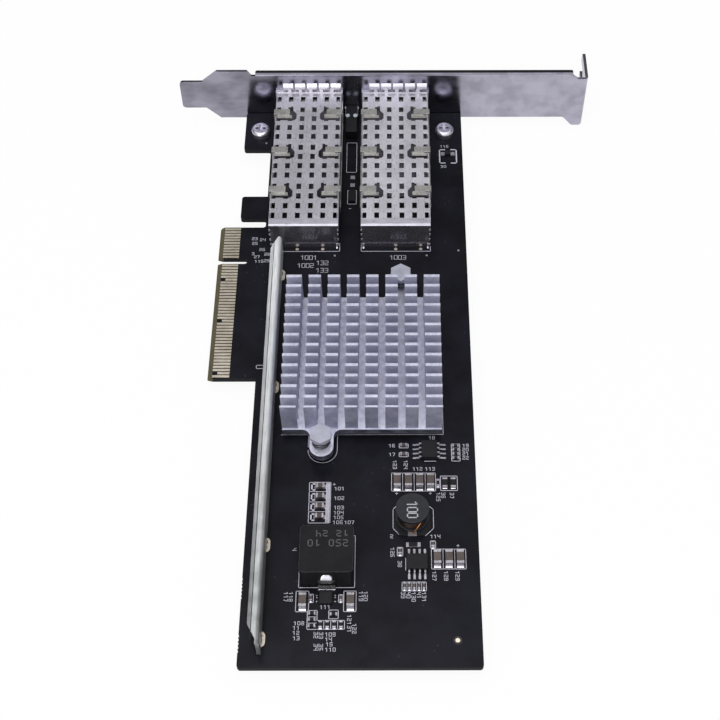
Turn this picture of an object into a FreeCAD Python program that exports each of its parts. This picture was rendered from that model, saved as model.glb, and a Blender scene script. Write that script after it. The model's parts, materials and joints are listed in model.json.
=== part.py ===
import FreeCAD, Part
import os
import re
import Sketcher

# Dual-port network interface card on a PCI Express x8 board.
# Frame: the origin is on the component face, at the outer edge of the edge connector, level with
# the centre of its key notch. X runs across the board, Y towards the I/O bracket, Z off the face.

DIMENSIONS = {
    # Printed circuit board
    "board_thick": 1.57, "board_right": 68.9, "board_front": 57.0, "board_rear": -118.5,
    "body_left": 12.6, "tongue_front": 12.15, "tongue_rear": -39.15,
    "hook_left": 5.3, "hook_front": 23.7, "hook_rear": 15.4,
    "corner_left": 4.7, "corner_rear": 42.1, "corner_round": 0.8,
    "key_width": 1.9, "key_end": 8.2, "bevel_long": 1.2, "bevel_deep": 0.5,
    "bite_radius": 0.35, "bite_pitch": 0.95, "bite_first": -96.3, "bite_second": -110.6,
    # Edge connector contacts
    "finger_pitch": 1.0, "finger_width": 0.7, "finger_start": 1.25, "finger_end": 5.7,
    "finger_thick": 0.05, "finger_first": 11.5, "finger_second": -1.5, "finger_short": 1.3,
    # I/O bracket
    "bracket_inner": 57.15, "metal": 0.86, "bracket_low": -1.85, "bracket_width": 18.42,
    "tongue_width": 10.19, "bracket_left": -14.2, "bracket_length": 120.02,
    "taper_start": -7.5, "taper_end": -3.2, "step_start": 99.8, "step_end": 102.6,
    "step_drop": 3.4, "tab_long": 11.43, "tab_top": 13.4, "lip_deep": 1.7,
    "lip_left": 8.4, "lip_right": 101.2, "notch_left": 6.6, "notch_level": 14.7, "lip_top": 15.55,
    "lip_bend": 0.8,
    "bend_inside": 0.5, "foot_long": 12.2, "foot_wide": 6.4, "foot_left": 6.2, "foot_right": 60.5,
    "slot_wide": 4.42, "slot_deep": 6.4, "slot_low": 5.9, "light_hole": 1.9,
    # Bracket screws
    "screw_left": 9.4, "screw_right": 63.7, "screw_y": 48.8, "screw_hole": 3.3,
    "screw_thread": 3.0, "screw_head": 5.6, "screw_head_high": 2.1, "screw_long": 3.4,
    "recess_wide": 0.9, "recess_long": 3.0, "recess_deep": 1.1,
    # Port cages
    "cage_left": 14.3, "cage_pitch": 25.3, "cage_wide": 19.2, "cage_rear": 4.93,
    "cage_front": 59.6, "cage_high": 8.75, "cage_wall": 0.3, "floor_rear": 20.0,
    "cover_thick": 0.3, "cover_skirt": 0.25, "skirt_low": 6.6, "cover_rear": 6.35,
    "hood_front": 6.15, "mouth_gap": 0.2, "collar_wide": 0.25, "collar_deep": 1.0,
    "collar_metal": 0.25, "leaf_first": 3.5, "leaf_wide": 2.9,
    "stem_first": 3.9, "stem_wide": 1.0, "stem_pitch": 3.1, "stem_high": 1.6,
    "hole_wide": 1.3, "hole_long": 2.1, "hole_first_x": 0.9, "hole_pitch_x": 3.48,
    "hole_first_y": 8.85, "hole_pitch_y": 3.55, "bay_pitch": 14.93,
    # Cage clips
    "clip_first": 17.15, "ear_long": 4.6, "ear_wide": 2.0, "ear_lift": 0.3,
    "clip_metal": 0.25, "rail_low": 3.2, "rail_high": 5.6, "lip_back": 1.1,
    # Status lights between the cages
    "light_left": 35.1, "light_right": 37.4, "light_level": 2.0, "lens_wide": 1.5,
    "holder_left": 34.6, "holder_wide": 3.3, "holder_rear": 46.2, "holder_high": 3.2,
    "window_y": 52.6, "window_wide": 1.3,
    # Heat sink
    "sink_left": 20.5, "sink_wide": 40.1, "sink_front": -57.0, "sink_low": 1.6,
    "sink_base": 1.9, "sink_high": 13.4, "fin_thick": 0.8, "fin_pitch": 3.138,
    "column_wide": 4.0, "channel_wide": 1.83, "channel_pitch": 5.03,
    "ear_radius": 3.0, "ear_reach": 0.4, "ear_blend": 2.0, "ledge": 0.25, "pin_x": 30.5, "pin_y": -61.4,
    "far_pin_x": 50.5, "far_pin_y": -11.1, "pin_hole": 3.0, "pin_shaft": 2.7,
    "pin_head": 6.0, "pin_head_low": 8.0, "pin_head_high": 8.9,
    "pin_flange": 5.4, "pin_flange_low": 7.5,
    "spring_wide": 4.6, "spring_wire": 0.5, "spring_pitch": 1.15,
    # Controller and thermal pad
    "chip_size": 25.0, "chip_high": 1.4, "pad_size": 24.0, "chip_x": 40.55, "chip_y": -36.2,
    # Stiffener bar
    "bar_right": 18.0, "bar_left": 15.15, "bar_metal": 0.9, "bar_high": 7.05,
    "crease_x": 16.05, "crease_deep": 0.14, "flange_droop": 0.3,
    "bar_front": 3.0, "bar_rear": -115.3, "flange_front": -0.9, "flange_rear": -110.4,
    "bar_hole": 1.3, "bar_hole_reach": 0.75, "pad_ring": 2.5, "pad_thick": 0.04,
    "leg_wide": 1.9,
}

BAR_FEET = (-5.0, -41.9, -87.4, -111.5)
FINGERS_AHEAD_OF_KEY = 11
FINGERS_BEHIND_KEY = 38
FIN_ROWS = 14
CHANNELS = 7

doc = FreeCAD.newDocument("network_card")
sheet = doc.addObject("Spreadsheet::Sheet", "dims")
for row, (alias, number) in enumerate(DIMENSIONS.items(), start=1):
    sheet.set("A%d" % row, alias)
    sheet.set("B%d" % row, str(number))
    sheet.setAlias("B%d" % row, alias)
doc.recompute()

nodes = []


def full(text):
    """An expression with each alias written as a cell of the sheet."""
    def cell(match):
        word = match.group()
        return "dims." + word if word in DIMENSIONS else word
    return re.sub(r"[A-Za-z_]\w*", cell, str(text))


def value(text):
    """The number that an expression gives now."""
    return float(sheet.evalExpression(str(text)))


def bind(item, **expressions):
    for name, text in expressions.items():
        item.setExpression(name, full(text))


def place(item, x="0", y="0", z="0"):
    for axis, text in (("x", x), ("y", y), ("z", z)):
        item.setExpression("Placement.Base." + axis, full(text))


def node(item, label):
    item.Label = label
    nodes.append(item)
    return item


# Part primitives

def box(name, x, y, z, length, width, height):
    item = doc.addObject("Part::Box", name)
    bind(item, Length=length, Width=width, Height=height)
    place(item, x, y, z)
    return item


def cylinder(name, x, y, z, radius, height):
    item = doc.addObject("Part::Cylinder", name)
    bind(item, Radius=radius, Height=height)
    place(item, x, y, z)
    return item


def fuse(name, items):
    item = doc.addObject("Part::MultiFuse", name)
    item.Shapes = items
    return item


def cut(name, base, tool):
    item = doc.addObject("Part::Cut", name)
    item.Base = base
    item.Tool = tool
    return item


def group(name, items):
    item = doc.addObject("Part::Compound", name)
    item.Links = items
    return item


# PartDesign features

def body(name):
    item = doc.addObject("PartDesign::Body", name)
    item.AllowCompound = True
    return item


def origin_plane(owner, role):
    return [feature for feature in owner.Origin.OriginFeatures if feature.Role == role][0]


def sketch(owner, name, role, offset="0"):
    item = owner.newObject("Sketcher::SketchObject", name)
    item.AttachmentSupport = [(origin_plane(owner, role), "")]
    item.MapMode = "FlatFace"
    item.setExpression("AttachmentOffset.Base.z", full(offset))
    return item


def datum(item, kind, geometry, point, text):
    index = item.addConstraint(Sketcher.Constraint(kind, -1, 1, geometry, point, value(text)))
    item.setExpression("Constraints[%d]" % index, full(text))


def loop(item, corners):
    """A closed outline of straight lines, with each corner held by two dimensions."""
    points = [FreeCAD.Vector(value(x), value(y), 0) for x, y in corners]
    first = item.GeometryCount
    count = len(points)
    for index, point in enumerate(points):
        item.addGeometry(Part.LineSegment(point, points[(index + 1) % count]))
    for index in range(count):
        end = (first + index, 2)
        start = (first + (index + 1) % count, 1)
        item.addConstraint(Sketcher.Constraint("Coincident", *end, *start))
    for index, (x, y) in enumerate(corners):
        datum(item, "DistanceX", first + index, 1, x)
        datum(item, "DistanceY", first + index, 1, y)


def rectangle(item, x0, y0, x1, y1):
    loop(item, [(x0, y0), (x1, y0), (x1, y1), (x0, y1)])


def circle(item, x, y, radius):
    centre = FreeCAD.Vector(value(x), value(y), 0)
    normal = FreeCAD.Vector(0, 0, 1)
    index = item.addGeometry(Part.Circle(centre, normal, value(radius)))
    datum(item, "DistanceX", index, 3, x)
    datum(item, "DistanceY", index, 3, y)
    held = item.addConstraint(Sketcher.Constraint("Radius", index, value(radius)))
    item.setExpression("Constraints[%d]" % held, full(radius))


def pad(owner, name, profile, length, reverse=False):
    item = owner.newObject("PartDesign::Pad", name)
    item.Profile = profile
    item.Reversed = reverse
    bind(item, Length=length)
    profile.Visibility = False
    doc.recompute()
    return item


def pocket(owner, name, profile, length, reverse=False):
    before = owner.Shape.Volume
    item = owner.newObject("PartDesign::Pocket", name)
    item.Profile = profile
    item.Reversed = reverse
    bind(item, Length=length)
    doc.recompute()
    if owner.Shape.Volume > before - 1e-6:
        raise RuntimeError(name + " cuts nothing")
    return item


def repeat(owner, name, original, profile, axis, span, count, back=False):
    item = owner.newObject("PartDesign::LinearPattern", name)
    item.Originals = [original]
    item.Direction = (profile, [axis])
    item.Occurrences = count
    item.Reversed = back
    bind(item, Length=span)
    owner.Tip = item
    doc.recompute()
    return item


def edges_where(item, test):
    """Names of the edges whose centre and direction satisfy a test."""
    found = []
    for index, edge in enumerate(item.Shape.Edges, start=1):
        if test(edge):
            found.append("Edge%d" % index)
    return found


def fillet(owner, name, base, radius, test):
    item = owner.newObject("PartDesign::Fillet", name)
    item.Base = (base, edges_where(base, test))
    bind(item, Radius=radius)
    doc.recompute()
    return item


def chamfer(owner, name, base, size, test):
    item = owner.newObject("PartDesign::Chamfer", name)
    item.Base = (base, edges_where(base, test))
    bind(item, Size=size)
    doc.recompute()
    return item


def upright(edge):
    box_of = edge.BoundBox
    return box_of.ZLength > 0.2 and box_of.XLength < 1e-4 and box_of.YLength < 1e-4


def near(edge, x, y, within=0.2):
    middle = edge.BoundBox.Center
    return abs(middle.x - value(x)) < within and abs(middle.y - value(y)) < within


# Printed circuit board: the body, the connector tongue, the hook and the bracket corner

def make_board():
    owner = body("Board")
    outline = sketch(owner, "BoardOutline", "XY_Plane")
    loop(outline, [
        ("body_left", "board_rear"), ("board_right", "board_rear"),
        ("board_right", "board_front"), ("corner_left", "board_front"),
        ("corner_left", "corner_rear"), ("body_left", "corner_rear"),
        ("body_left", "hook_front"), ("hook_left", "hook_front"),
        ("hook_left", "hook_rear"), ("body_left", "hook_rear"),
        ("body_left", "tongue_front"), ("0", "tongue_front"),
        ("0", "tongue_rear"), ("body_left", "tongue_rear")])
    plate = pad(owner, "BoardPlate", outline, "board_thick", reverse=True)
    rounded = fillet(owner, "BoardCorners", plate, "corner_round", lambda edge: upright(edge) and (
        near(edge, "corner_left", "corner_rear") or near(edge, "corner_left", "board_front")
        or near(edge, "hook_left", "hook_front") or near(edge, "hook_left", "hook_rear")
        or near(edge, "0", "tongue_front") or near(edge, "body_left", "tongue_front")
        or near(edge, "body_left", "hook_rear") or near(edge, "body_left", "corner_rear")
        or near(edge, "body_left", "board_rear") or near(edge, "board_right", "board_rear")))
    key = sketch(owner, "KeyOutline", "XY_Plane")
    rectangle(key, "-1", "-key_width/2", "key_end - key_width/2", "key_width/2")
    pocket(owner, "KeySlot", key, "board_thick")
    key_end = sketch(owner, "KeyEnd", "XY_Plane")
    circle(key_end, "key_end - key_width/2", "0", "key_width/2")
    pocket(owner, "KeyRound", key_end, "board_thick")
    for side, level, turn in (("Top", "0", False), ("Bottom", "-board_thick", True)):
        ramp = sketch(owner, "Bevel" + side, "XZ_Plane", "-tongue_front - 1")
        deep = "-bevel_deep" if side == "Top" else "-board_thick + bevel_deep"
        loop(ramp, [("-0.5", level), ("bevel_long", level), ("0", deep), ("-0.5", deep)])
        pocket(owner, "Bevel%sCut" % side, ramp, "tongue_front - tongue_rear + 2", reverse=True)
    holes = sketch(owner, "BoardHoles", "XY_Plane")
    for x in ("screw_left", "screw_right"):
        circle(holes, x, "screw_y", "screw_hole/2")
    circle(holes, "pin_x", "pin_y", "pin_hole/2")
    circle(holes, "far_pin_x", "far_pin_y", "pin_hole/2")
    pocket(owner, "DrilledHoles", holes, "board_thick")
    slots = sketch(owner, "LegSlots", "XY_Plane")
    for y in BAR_FEET:
        rectangle(slots, "bar_right - bar_metal/2 - bar_hole/2", "%s - bar_hole_reach" % y,
                  "bar_right - bar_metal/2 + bar_hole/2", "%s + bar_hole_reach" % y)
    pocket(owner, "LegSlotsCut", slots, "board_thick")
    for tag, sign in (("Near", "-"), ("Far", "+")):
        ends = sketch(owner, "Slot%sEnds" % tag, "XY_Plane")
        for y in BAR_FEET:
            circle(ends, "bar_right - bar_metal/2", "%s %s bar_hole_reach" % (y, sign), "bar_hole/2")
        pocket(owner, "Slot%sRounds" % tag, ends, "board_thick")
    for count, start in ((6, "bite_first"), (5, "bite_second")):
        bite = sketch(owner, "Bite" + start[5:], "XY_Plane")
        circle(bite, "body_left", start, "bite_radius")
        first = pocket(owner, "BiteCut" + start[5:], bite, "board_thick")
        repeat(owner, "Bites" + start[5:], first, bite, "V_Axis",
               "bite_pitch * %d" % (count - 1), count, back=True)
    node(owner, "pcb")



# I/O bracket: blade, tapered tongue, bent lip, screw tab and two feet under the board

def make_bracket():
    owner = body("Bracket")
    top = "(bracket_low + bracket_width)"
    right = "(bracket_left + bracket_length)"
    tongue_low = "(bracket_low + (bracket_width - tongue_width)/2)"
    tongue_high = "(bracket_low + (bracket_width + tongue_width)/2)"
    face = sketch(owner, "BladeOutline", "XZ_Plane", "-bracket_inner")
    loop(face, [
        ("bracket_left", tongue_low), ("taper_start + 0.3", tongue_low),
        ("taper_end", "bracket_low"), ("step_start", "bracket_low"),
        ("step_end", "bracket_low - step_drop"), (right, "bracket_low - step_drop"),
        (right, "tab_top"), ("lip_right + 1.6", "tab_top"),
        ("lip_right", "lip_top - metal"), ("lip_left", "lip_top - metal"),
        ("lip_left", "notch_level"), ("notch_left + 0.6", "notch_level"),
        ("notch_left - 0.6", top), ("taper_end + 0.3", top), ("taper_start", tongue_high),
        ("bracket_left + 0.1", tongue_high)])
    blade = pad(owner, "Blade", face, "metal", reverse=True)
    across = lambda edge: edge.BoundBox.YLength > 0.5 and edge.BoundBox.XLength < 1e-4
    blade = fillet(owner, "TongueCorners", blade, "1.1", lambda edge: across(edge) and (
        edge.BoundBox.Center.x < value("bracket_left + 0.5")))
    low = value("bracket_low - step_drop")
    blade = fillet(owner, "StepCorners", blade, "1.3", lambda edge: across(edge) and (
        near(edge, "step_end", "bracket_inner + metal/2") or (
            near(edge, "step_start", "bracket_inner + metal/2")
            and edge.BoundBox.Center.z < 0)))

    bend = sketch(owner, "LipSection", "YZ_Plane", "lip_left")
    loop(bend, [
        ("bracket_inner", "lip_top - metal - 1"), ("bracket_inner + metal", "lip_top - metal - 1"),
        ("bracket_inner + metal", "lip_top - metal"), ("bracket_inner + lip_deep", "lip_top - metal"),
        ("bracket_inner + lip_deep", "lip_top"), ("bracket_inner", "lip_top")])
    lip = pad(owner, "Lip", bend, "lip_right - lip_left")
    level = value("lip_top")
    inner = value("bracket_inner")
    along = lambda edge: edge.BoundBox.XLength > 80
    lip = fillet(owner, "LipOuterBend", lip, "lip_bend", lambda edge: along(edge) and (
        abs(edge.BoundBox.Center.z - level) < 0.01 and abs(edge.BoundBox.Center.y - inner) < 0.01))
    lip = fillet(owner, "LipInnerBend", lip, "lip_bend/3", lambda edge: along(edge) and (
        abs(edge.BoundBox.Center.z - level + value("metal")) < 0.01
        and abs(edge.BoundBox.Center.y - inner - value("metal")) < 0.01))
    lip = fillet(owner, "LipCorners", lip, "0.5", lambda edge: upright(edge) and (
        abs(edge.BoundBox.Center.y - inner - value("lip_deep")) < 0.01))

    wing = sketch(owner, "TabOutline", "YZ_Plane", right + " - metal")
    far = "(bracket_inner + tab_long)"
    low_level = "bracket_low - step_drop"
    loop(wing, [
        ("bracket_inner + 0.2", low_level), (far, low_level), (far, "slot_low"),
        (far + " - slot_deep + slot_wide/2", "slot_low"),
        (far + " - slot_deep", "slot_low + slot_wide/2"),
        (far + " - slot_deep + slot_wide/2", "slot_low + slot_wide"),
        (far, "slot_low + slot_wide"), (far, "tab_top"), ("bracket_inner + 0.2", "tab_top")])
    tab = pad(owner, "ScrewTab", wing, "metal")
    edge_right = value(right)
    tab = fillet(owner, "TabOuterBend", tab, "bend_inside + metal - 0.1", lambda edge: (
        edge.BoundBox.ZLength > 8 and abs(edge.BoundBox.Center.x - edge_right) < 0.01
        and abs(edge.BoundBox.Center.y - inner) < 0.1))
    tab = fillet(owner, "TabCorners", tab, "1.0", lambda edge: (
        abs(edge.BoundBox.XLength - value("metal")) < 0.01 and edge.BoundBox.YLength < 1e-4
        and abs(edge.BoundBox.Center.y - value(far)) < 0.01
        and (edge.BoundBox.Center.z > value("tab_top") - 0.1 or edge.BoundBox.Center.z < low + 0.1)))

    sole = sketch(owner, "FeetOutline", "XY_Plane", "-board_thick")
    for left in ("foot_left", "foot_right"):
        rectangle(sole, left, "bracket_inner + metal - foot_long",
                  left + " + foot_wide", "bracket_inner + metal")
    feet = pad(owner, "Feet", sole, "metal", reverse=True)
    bottom = value("-board_thick - metal")
    feet = fillet(owner, "FootBends", feet, "bend_inside - 0.1", lambda edge: (
        abs(edge.BoundBox.Center.z - bottom) < 0.01 and edge.BoundBox.XLength > 3
        and abs(edge.BoundBox.Center.y - inner - value("metal")) < 0.01))
    feet = fillet(owner, "FootCorners", feet, "1.0", lambda edge: upright(edge) and (
        edge.BoundBox.Center.y < inner - 5))

    taps = sketch(owner, "TappedHoles", "XY_Plane")
    for x in ("screw_left", "screw_right"):
        circle(taps, x, "screw_y", "screw_thread/2")
    pocket(owner, "TappedHolesCut", taps, "board_thick + metal + 0.1")

    ports = sketch(owner, "PortOutline", "XZ_Plane", "-bracket_inner + 0.1")
    rectangle(ports, "cage_left - mouth_gap", "-mouth_gap", "cage_left + cage_wide + mouth_gap",
              "cage_high + cover_thick + mouth_gap")
    first = pocket(owner, "Port", ports, "metal + 0.2")
    repeat(owner, "Ports", first, ports, "H_Axis", "cage_pitch", 2)
    lights = sketch(owner, "LightHoles", "XZ_Plane", "-bracket_inner + 0.1")
    for x in ("light_left", "light_right"):
        circle(lights, x, "light_level", "light_hole/2")
    pocket(owner, "LightHolesCut", lights, "metal + 0.2")
    node(owner, "bracket")


# Heat sink: a base with two push-pin ears under a block of cross-cut fins

def make_heat_sink():
    owner = body("HeatSink")
    rear = "(sink_front + fin_thick + %d*fin_pitch)" % (FIN_ROWS - 1)
    base = sketch(owner, "BaseOutline", "XY_Plane", "sink_low")
    rectangle(base, "sink_left", "sink_front", "sink_left + sink_wide", rear)
    plate = pad(owner, "BasePlate", base, "sink_base")
    for name, x, y, edge_y, sign in (
            ("Near", "pin_x", "pin_y", "sink_front", 1), ("Far", "far_pin_x", "far_pin_y", rear, -1)):
        tongue = sketch(owner, name + "EarOutline", "XY_Plane", "sink_low")
        inner = "%s + %d" % (edge_y, sign)
        middle = y + " - (%d)*ear_reach" % sign
        rectangle(tongue, x + " - ear_radius", middle, x + " + ear_radius", inner)
        pad(owner, name + "Ear", tongue, "sink_base")
        tip = sketch(owner, name + "EarTip", "XY_Plane", "sink_low")
        circle(tip, x, middle, "ear_radius")
        plate = pad(owner, name + "EarRound", tip, "sink_base")
    plate = fillet(owner, "EarBlends", plate, "ear_blend", lambda edge: upright(edge) and (
        near(edge, "pin_x - ear_radius", "sink_front") or near(edge, "pin_x + ear_radius", "sink_front")
        or near(edge, "far_pin_x - ear_radius", rear)
        or near(edge, "far_pin_x + ear_radius", rear)))
    holes = sketch(owner, "PinHoles", "XY_Plane", "sink_low + sink_base + 0.1")
    circle(holes, "pin_x", "pin_y", "pin_hole/2")
    circle(holes, "far_pin_x", "far_pin_y", "pin_hole/2")
    pocket(owner, "PinHolesCut", holes, "sink_base + 0.2")
    block = sketch(owner, "FinBlockOutline", "XY_Plane", "sink_low + sink_base")
    rectangle(block, "sink_left", "sink_front + ledge", "sink_left + sink_wide", rear)
    pad(owner, "FinBlock", block, "sink_high - sink_low - sink_base")
    height = "sink_high - sink_low - sink_base"
    lane = sketch(owner, "ChannelOutline", "XY_Plane", "sink_high")
    rectangle(lane, "sink_left + column_wide", "sink_front - 1",
              "sink_left + column_wide + channel_wide", rear + " + 1")
    first = pocket(owner, "Channel", lane, height)
    repeat(owner, "Channels", first, lane, "H_Axis", "channel_pitch*%d" % (CHANNELS - 1), CHANNELS)
    gap = sketch(owner, "GapOutline", "XY_Plane", "sink_high")
    rectangle(gap, "sink_left - 1", "sink_front + fin_thick", "sink_left + sink_wide + 1",
              "sink_front + fin_pitch")
    first = pocket(owner, "FinGap", gap, height)
    repeat(owner, "FinGaps", first, gap, "V_Axis", "fin_pitch*%d" % (FIN_ROWS - 2), FIN_ROWS - 1)
    node(owner, "heat_sink")


# Edge connector contacts on both faces of the tongue

def make_fingers(name, label, level, short):
    owner = body(name)
    for part, first, count in (("Front", "finger_first", FINGERS_AHEAD_OF_KEY),
                               ("Rear", "finger_second", FINGERS_BEHIND_KEY)):
        one = sketch(owner, name + part, "XY_Plane", level)
        rectangle(one, "finger_start", first + " - finger_width/2",
                  "finger_end", first + " + finger_width/2")
        single = pad(owner, name + part + "Pad", one, "finger_thick")
        repeat(owner, name + part + "Row", single, one, "V_Axis",
               "finger_pitch*%d" % (count - 1), count, back=True)
    if short:
        trim = sketch(owner, name + "Short", "XY_Plane", level + " + finger_thick")
        for pin in short:
            y = "finger_second - %d*finger_pitch" % (pin - FINGERS_AHEAD_OF_KEY - 1)
            rectangle(trim, "finger_start - 0.1", y + " - finger_pitch/2",
                      "finger_start + finger_short", y + " + finger_pitch/2")
        pocket(owner, name + "Trim", trim, "finger_thick")
    doc.recompute()
    node(owner, label)


# Port cage: folded tub, perforated cover, hold-down clip, collar and host connector

def make_cage(side, shift):
    left = "(cage_left + %s)" % shift
    right = "(cage_left + cage_wide + %s)" % shift
    roof = "(cage_high + cover_thick)"
    skin = "cover_skirt"
    tub = box(side + "TubOuter", left + " + " + skin, "cage_rear", "0",
              "cage_wide - 2*cover_skirt", "cage_front - cage_rear", "cage_high")
    hollow = box(side + "TubInner", left + " + cover_skirt + cage_wall", "cage_rear + cage_wall",
                 "cage_wall", "cage_wide - 2*cover_skirt - 2*cage_wall",
                 "cage_front - cage_rear", "cage_high")
    well = box(side + "TubWell", left + " + cover_skirt + cage_wall", "cage_rear + cage_wall",
               "-1", "cage_wide - 2*cover_skirt - 2*cage_wall", "floor_rear - cage_rear", "3")
    hood = box(side + "Hood", left, "cage_rear", "cage_high", "cage_wide",
               "hood_front - cage_rear", "cover_thick")
    shell = cut(side + "TubShell", tub, fuse(side + "TubTools", [hollow, well]))
    node(fuse(side + "Tub", [shell, hood]), "cage_" + side.lower())

    owner = body(side + "Cover")
    section = sketch(owner, side + "CoverSection", "XZ_Plane", "-cover_rear")
    loop(section, [
        (left, "skirt_low"), (left + " + " + skin, "skirt_low"), (left + " + " + skin, "cage_high"),
        (right + " - " + skin, "cage_high"), (right + " - " + skin, "skirt_low"),
        (right, "skirt_low"), (right, roof), (left, roof)])
    sheet_metal = pad(owner, side + "CoverPlate", section, "cage_front - cover_rear", reverse=True)
    fillet(owner, side + "CoverBends", sheet_metal, "0.2", lambda edge: (
        edge.BoundBox.YLength > 20 and edge.BoundBox.Center.z > value(roof) - 0.01))
    for name, rows, bays in (("Holes", 4, 3), ("LastHoles", 1, 1)):
        start = "hole_first_y" if bays > 1 else "hole_first_y + 3*bay_pitch"
        field = sketch(owner, side + name, "XY_Plane", roof)
        for row in range(rows):
            middle = "%s + %d*hole_pitch_y" % (start, row)
            x = left + " + hole_first_x"
            rectangle(field, x + " - hole_wide/2", middle + " - hole_long/2",
                      x + " + hole_wide/2", middle + " + hole_long/2")
        punched = pocket(owner, side + name + "Cut", field, "cover_thick + 0.2")
        spread = owner.newObject("PartDesign::MultiTransform", side + name + "Grid")
        spread.Originals = [punched]
        steps = []
        for axis, span, count in (("H_Axis", "hole_pitch_x*5", 6), ("V_Axis", "bay_pitch*2", bays)):
            if count > 1:
                step = owner.newObject("PartDesign::LinearPattern", side + name + axis)
                step.Direction = (field, [axis])
                step.Occurrences = count
                bind(step, Length=span)
                steps.append(step)
        spread.Transformations = steps
        owner.Tip = spread
        doc.recompute()
    for hand, edge_x, sign in (("Left", left, "+"), ("Right", right, "-")):
        window = sketch(owner, side + hand + "Window", "XY_Plane", roof)
        loop(window, [(edge_x + " %s %s" % (sign, u), v) for u, v in (
            ("0.6", "15.25"), ("5.6", "15.25"), ("6.2", "15.9"), ("6.2", "17.9"), ("5.15", "19.2"),
            ("5.15", "20.9"), ("4.35", "20.9"), ("4.35", "19.5"), ("0.6", "19.5"))])
        opening = pocket(owner, side + hand + "WindowCut", window, "cover_thick + 0.1")
        repeat(owner, side + hand + "Windows", opening, window, "V_Axis", "bay_pitch*2", 3)
    node(owner, "cage_cover_" + side.lower())

    plates = []
    gap = "0.1"
    for hand, sign in (("L", 1), ("R", -1)):
        outer = left + " - clip_metal - " + gap if sign > 0 else right + " + " + gap
        over = left + " - clip_metal - " + gap if sign > 0 else right + " + " + gap + \
            " + clip_metal - ear_long"
        lip_x = left + " + 0.65" if sign > 0 else right + " - 4.9"
        strip = [box(side + hand + "Rail", outer, "clip_first - 2.5", "rail_low", "clip_metal",
                     "2*bay_pitch + ear_wide + 5", "rail_high - rail_low")]
        for bay in range(3):
            y = "clip_first + %d*bay_pitch" % bay
            tag = side + hand + "Ear%d" % bay
            strip += [
                box(tag, over, y, roof + " + ear_lift", "ear_long", "ear_wide", "clip_metal"),
                box(tag + "Arm", outer, y, "rail_high - 0.1", "clip_metal", "ear_wide",
                    "cage_high + cover_thick + ear_lift + 0.1 + clip_metal - rail_high"),
                box(tag + "Step", lip_x, y + " - 0.25", roof + " - 0.1", "3.5", "clip_metal",
                    "ear_lift + clip_metal + 0.1"),
                box(tag + "Lip", lip_x, y + " - lip_back", roof + " - 0.1", "4.25", "lip_back",
                    "clip_metal")]
        plates.append(fuse(side + hand + "Strip", strip))
    node(group(side + "Clip", plates), "cage_clip_" + side.lower())

    collar = body(side + "Collar")
    frame_outline = sketch(collar, side + "CollarOutline", "XZ_Plane", "-bracket_inner")
    loop(frame_outline, [
        (left + " - collar_wide", "0"), (left, "0"), (left, roof), (right, roof), (right, "0"),
        (right + " + collar_wide", "0"), (right + " + collar_wide", roof + " + cage_wall"),
        (left + " - collar_wide", roof + " + cage_wall")])
    pad(collar, side + "CollarFrame", frame_outline, "collar_deep")
    back = "bracket_inner - collar_deep"
    stem = sketch(collar, side + "StemSection", "YZ_Plane", left + " + stem_first - stem_wide/2")
    rectangle(stem, back, roof, back + " + collar_metal", roof + " + stem_high")
    post = pad(collar, side + "Stem", stem, "stem_wide")
    repeat(collar, side + "Stems", post, frame_outline, "H_Axis", "stem_pitch*4", 5)
    bent = sketch(collar, side + "LeafSection", "YZ_Plane",
                  left + " + leaf_first - leaf_wide/2")
    bulge = roof + " + stem_high"
    loop(bent, [
        (back, bulge + " - 0.2"), (back + " + collar_metal", bulge + " - 0.2"),
        ("bracket_inner - 0.4", bulge + " + 0.65"), ("bracket_inner", bulge + " + 0.95"),
        ("bracket_inner", bulge + " + 1.3"), ("bracket_inner - 0.55", bulge + " + 1"),
        ("bracket_inner - 0.85", bulge + " + 0.6"), (back, bulge + " + 0.15")])
    leaf = pad(collar, side + "Leaf", bent, "leaf_wide")
    repeat(collar, side + "Leaves", leaf, frame_outline, "H_Axis", "hole_pitch_x*4", 5)
    node(collar, "emi_collar_" + side.lower())

    block = box(side + "HostBlock", left + " + 1.4", "6.4", "0", "16.4", "10.6", "7.4")
    mouth = box(side + "HostMouth", left + " + 2.4", "12.0", "3.3", "14.4", "6", "1.4")
    node(cut(side + "Host", block, mouth), "host_connector_" + side.lower())


# Screws, push-pins, lights and the stiffener

def make_screws():
    items = []
    for name, x in (("Left", "screw_left"), ("Right", "screw_right")):
        head = cylinder(name + "Head", x, "screw_y", "0", "screw_head/2", "screw_head_high")
        rounded = doc.addObject("Part::Fillet", name + "Dome")
        rounded.Base = head
        doc.recompute()
        rim = [number for number, edge in enumerate(head.Shape.Edges, start=1)
               if edge.BoundBox.ZLength < 1e-4 and edge.BoundBox.Center.z > 1]
        rounded.Edges = [(number, 1.0, 1.0) for number in rim]
        shank = cylinder(name + "Shank", x, "screw_y", "-screw_long", "screw_thread/2",
                         "screw_long + 0.1")
        arms = [
            box(name + "SlotA", x + " - recess_long/2", "screw_y - recess_wide/2",
                "screw_head_high - recess_deep", "recess_long", "recess_wide", "recess_deep + 1"),
            box(name + "SlotB", x + " - recess_wide/2", "screw_y - recess_long/2",
                "screw_head_high - recess_deep", "recess_wide", "recess_long", "recess_deep + 1")]
        items.append(cut(name + "Screw", fuse(name + "Solid", [rounded, shank]),
                         fuse(name + "Recess", arms)))
    node(group("Screws", items), "bracket_screws")


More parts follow.
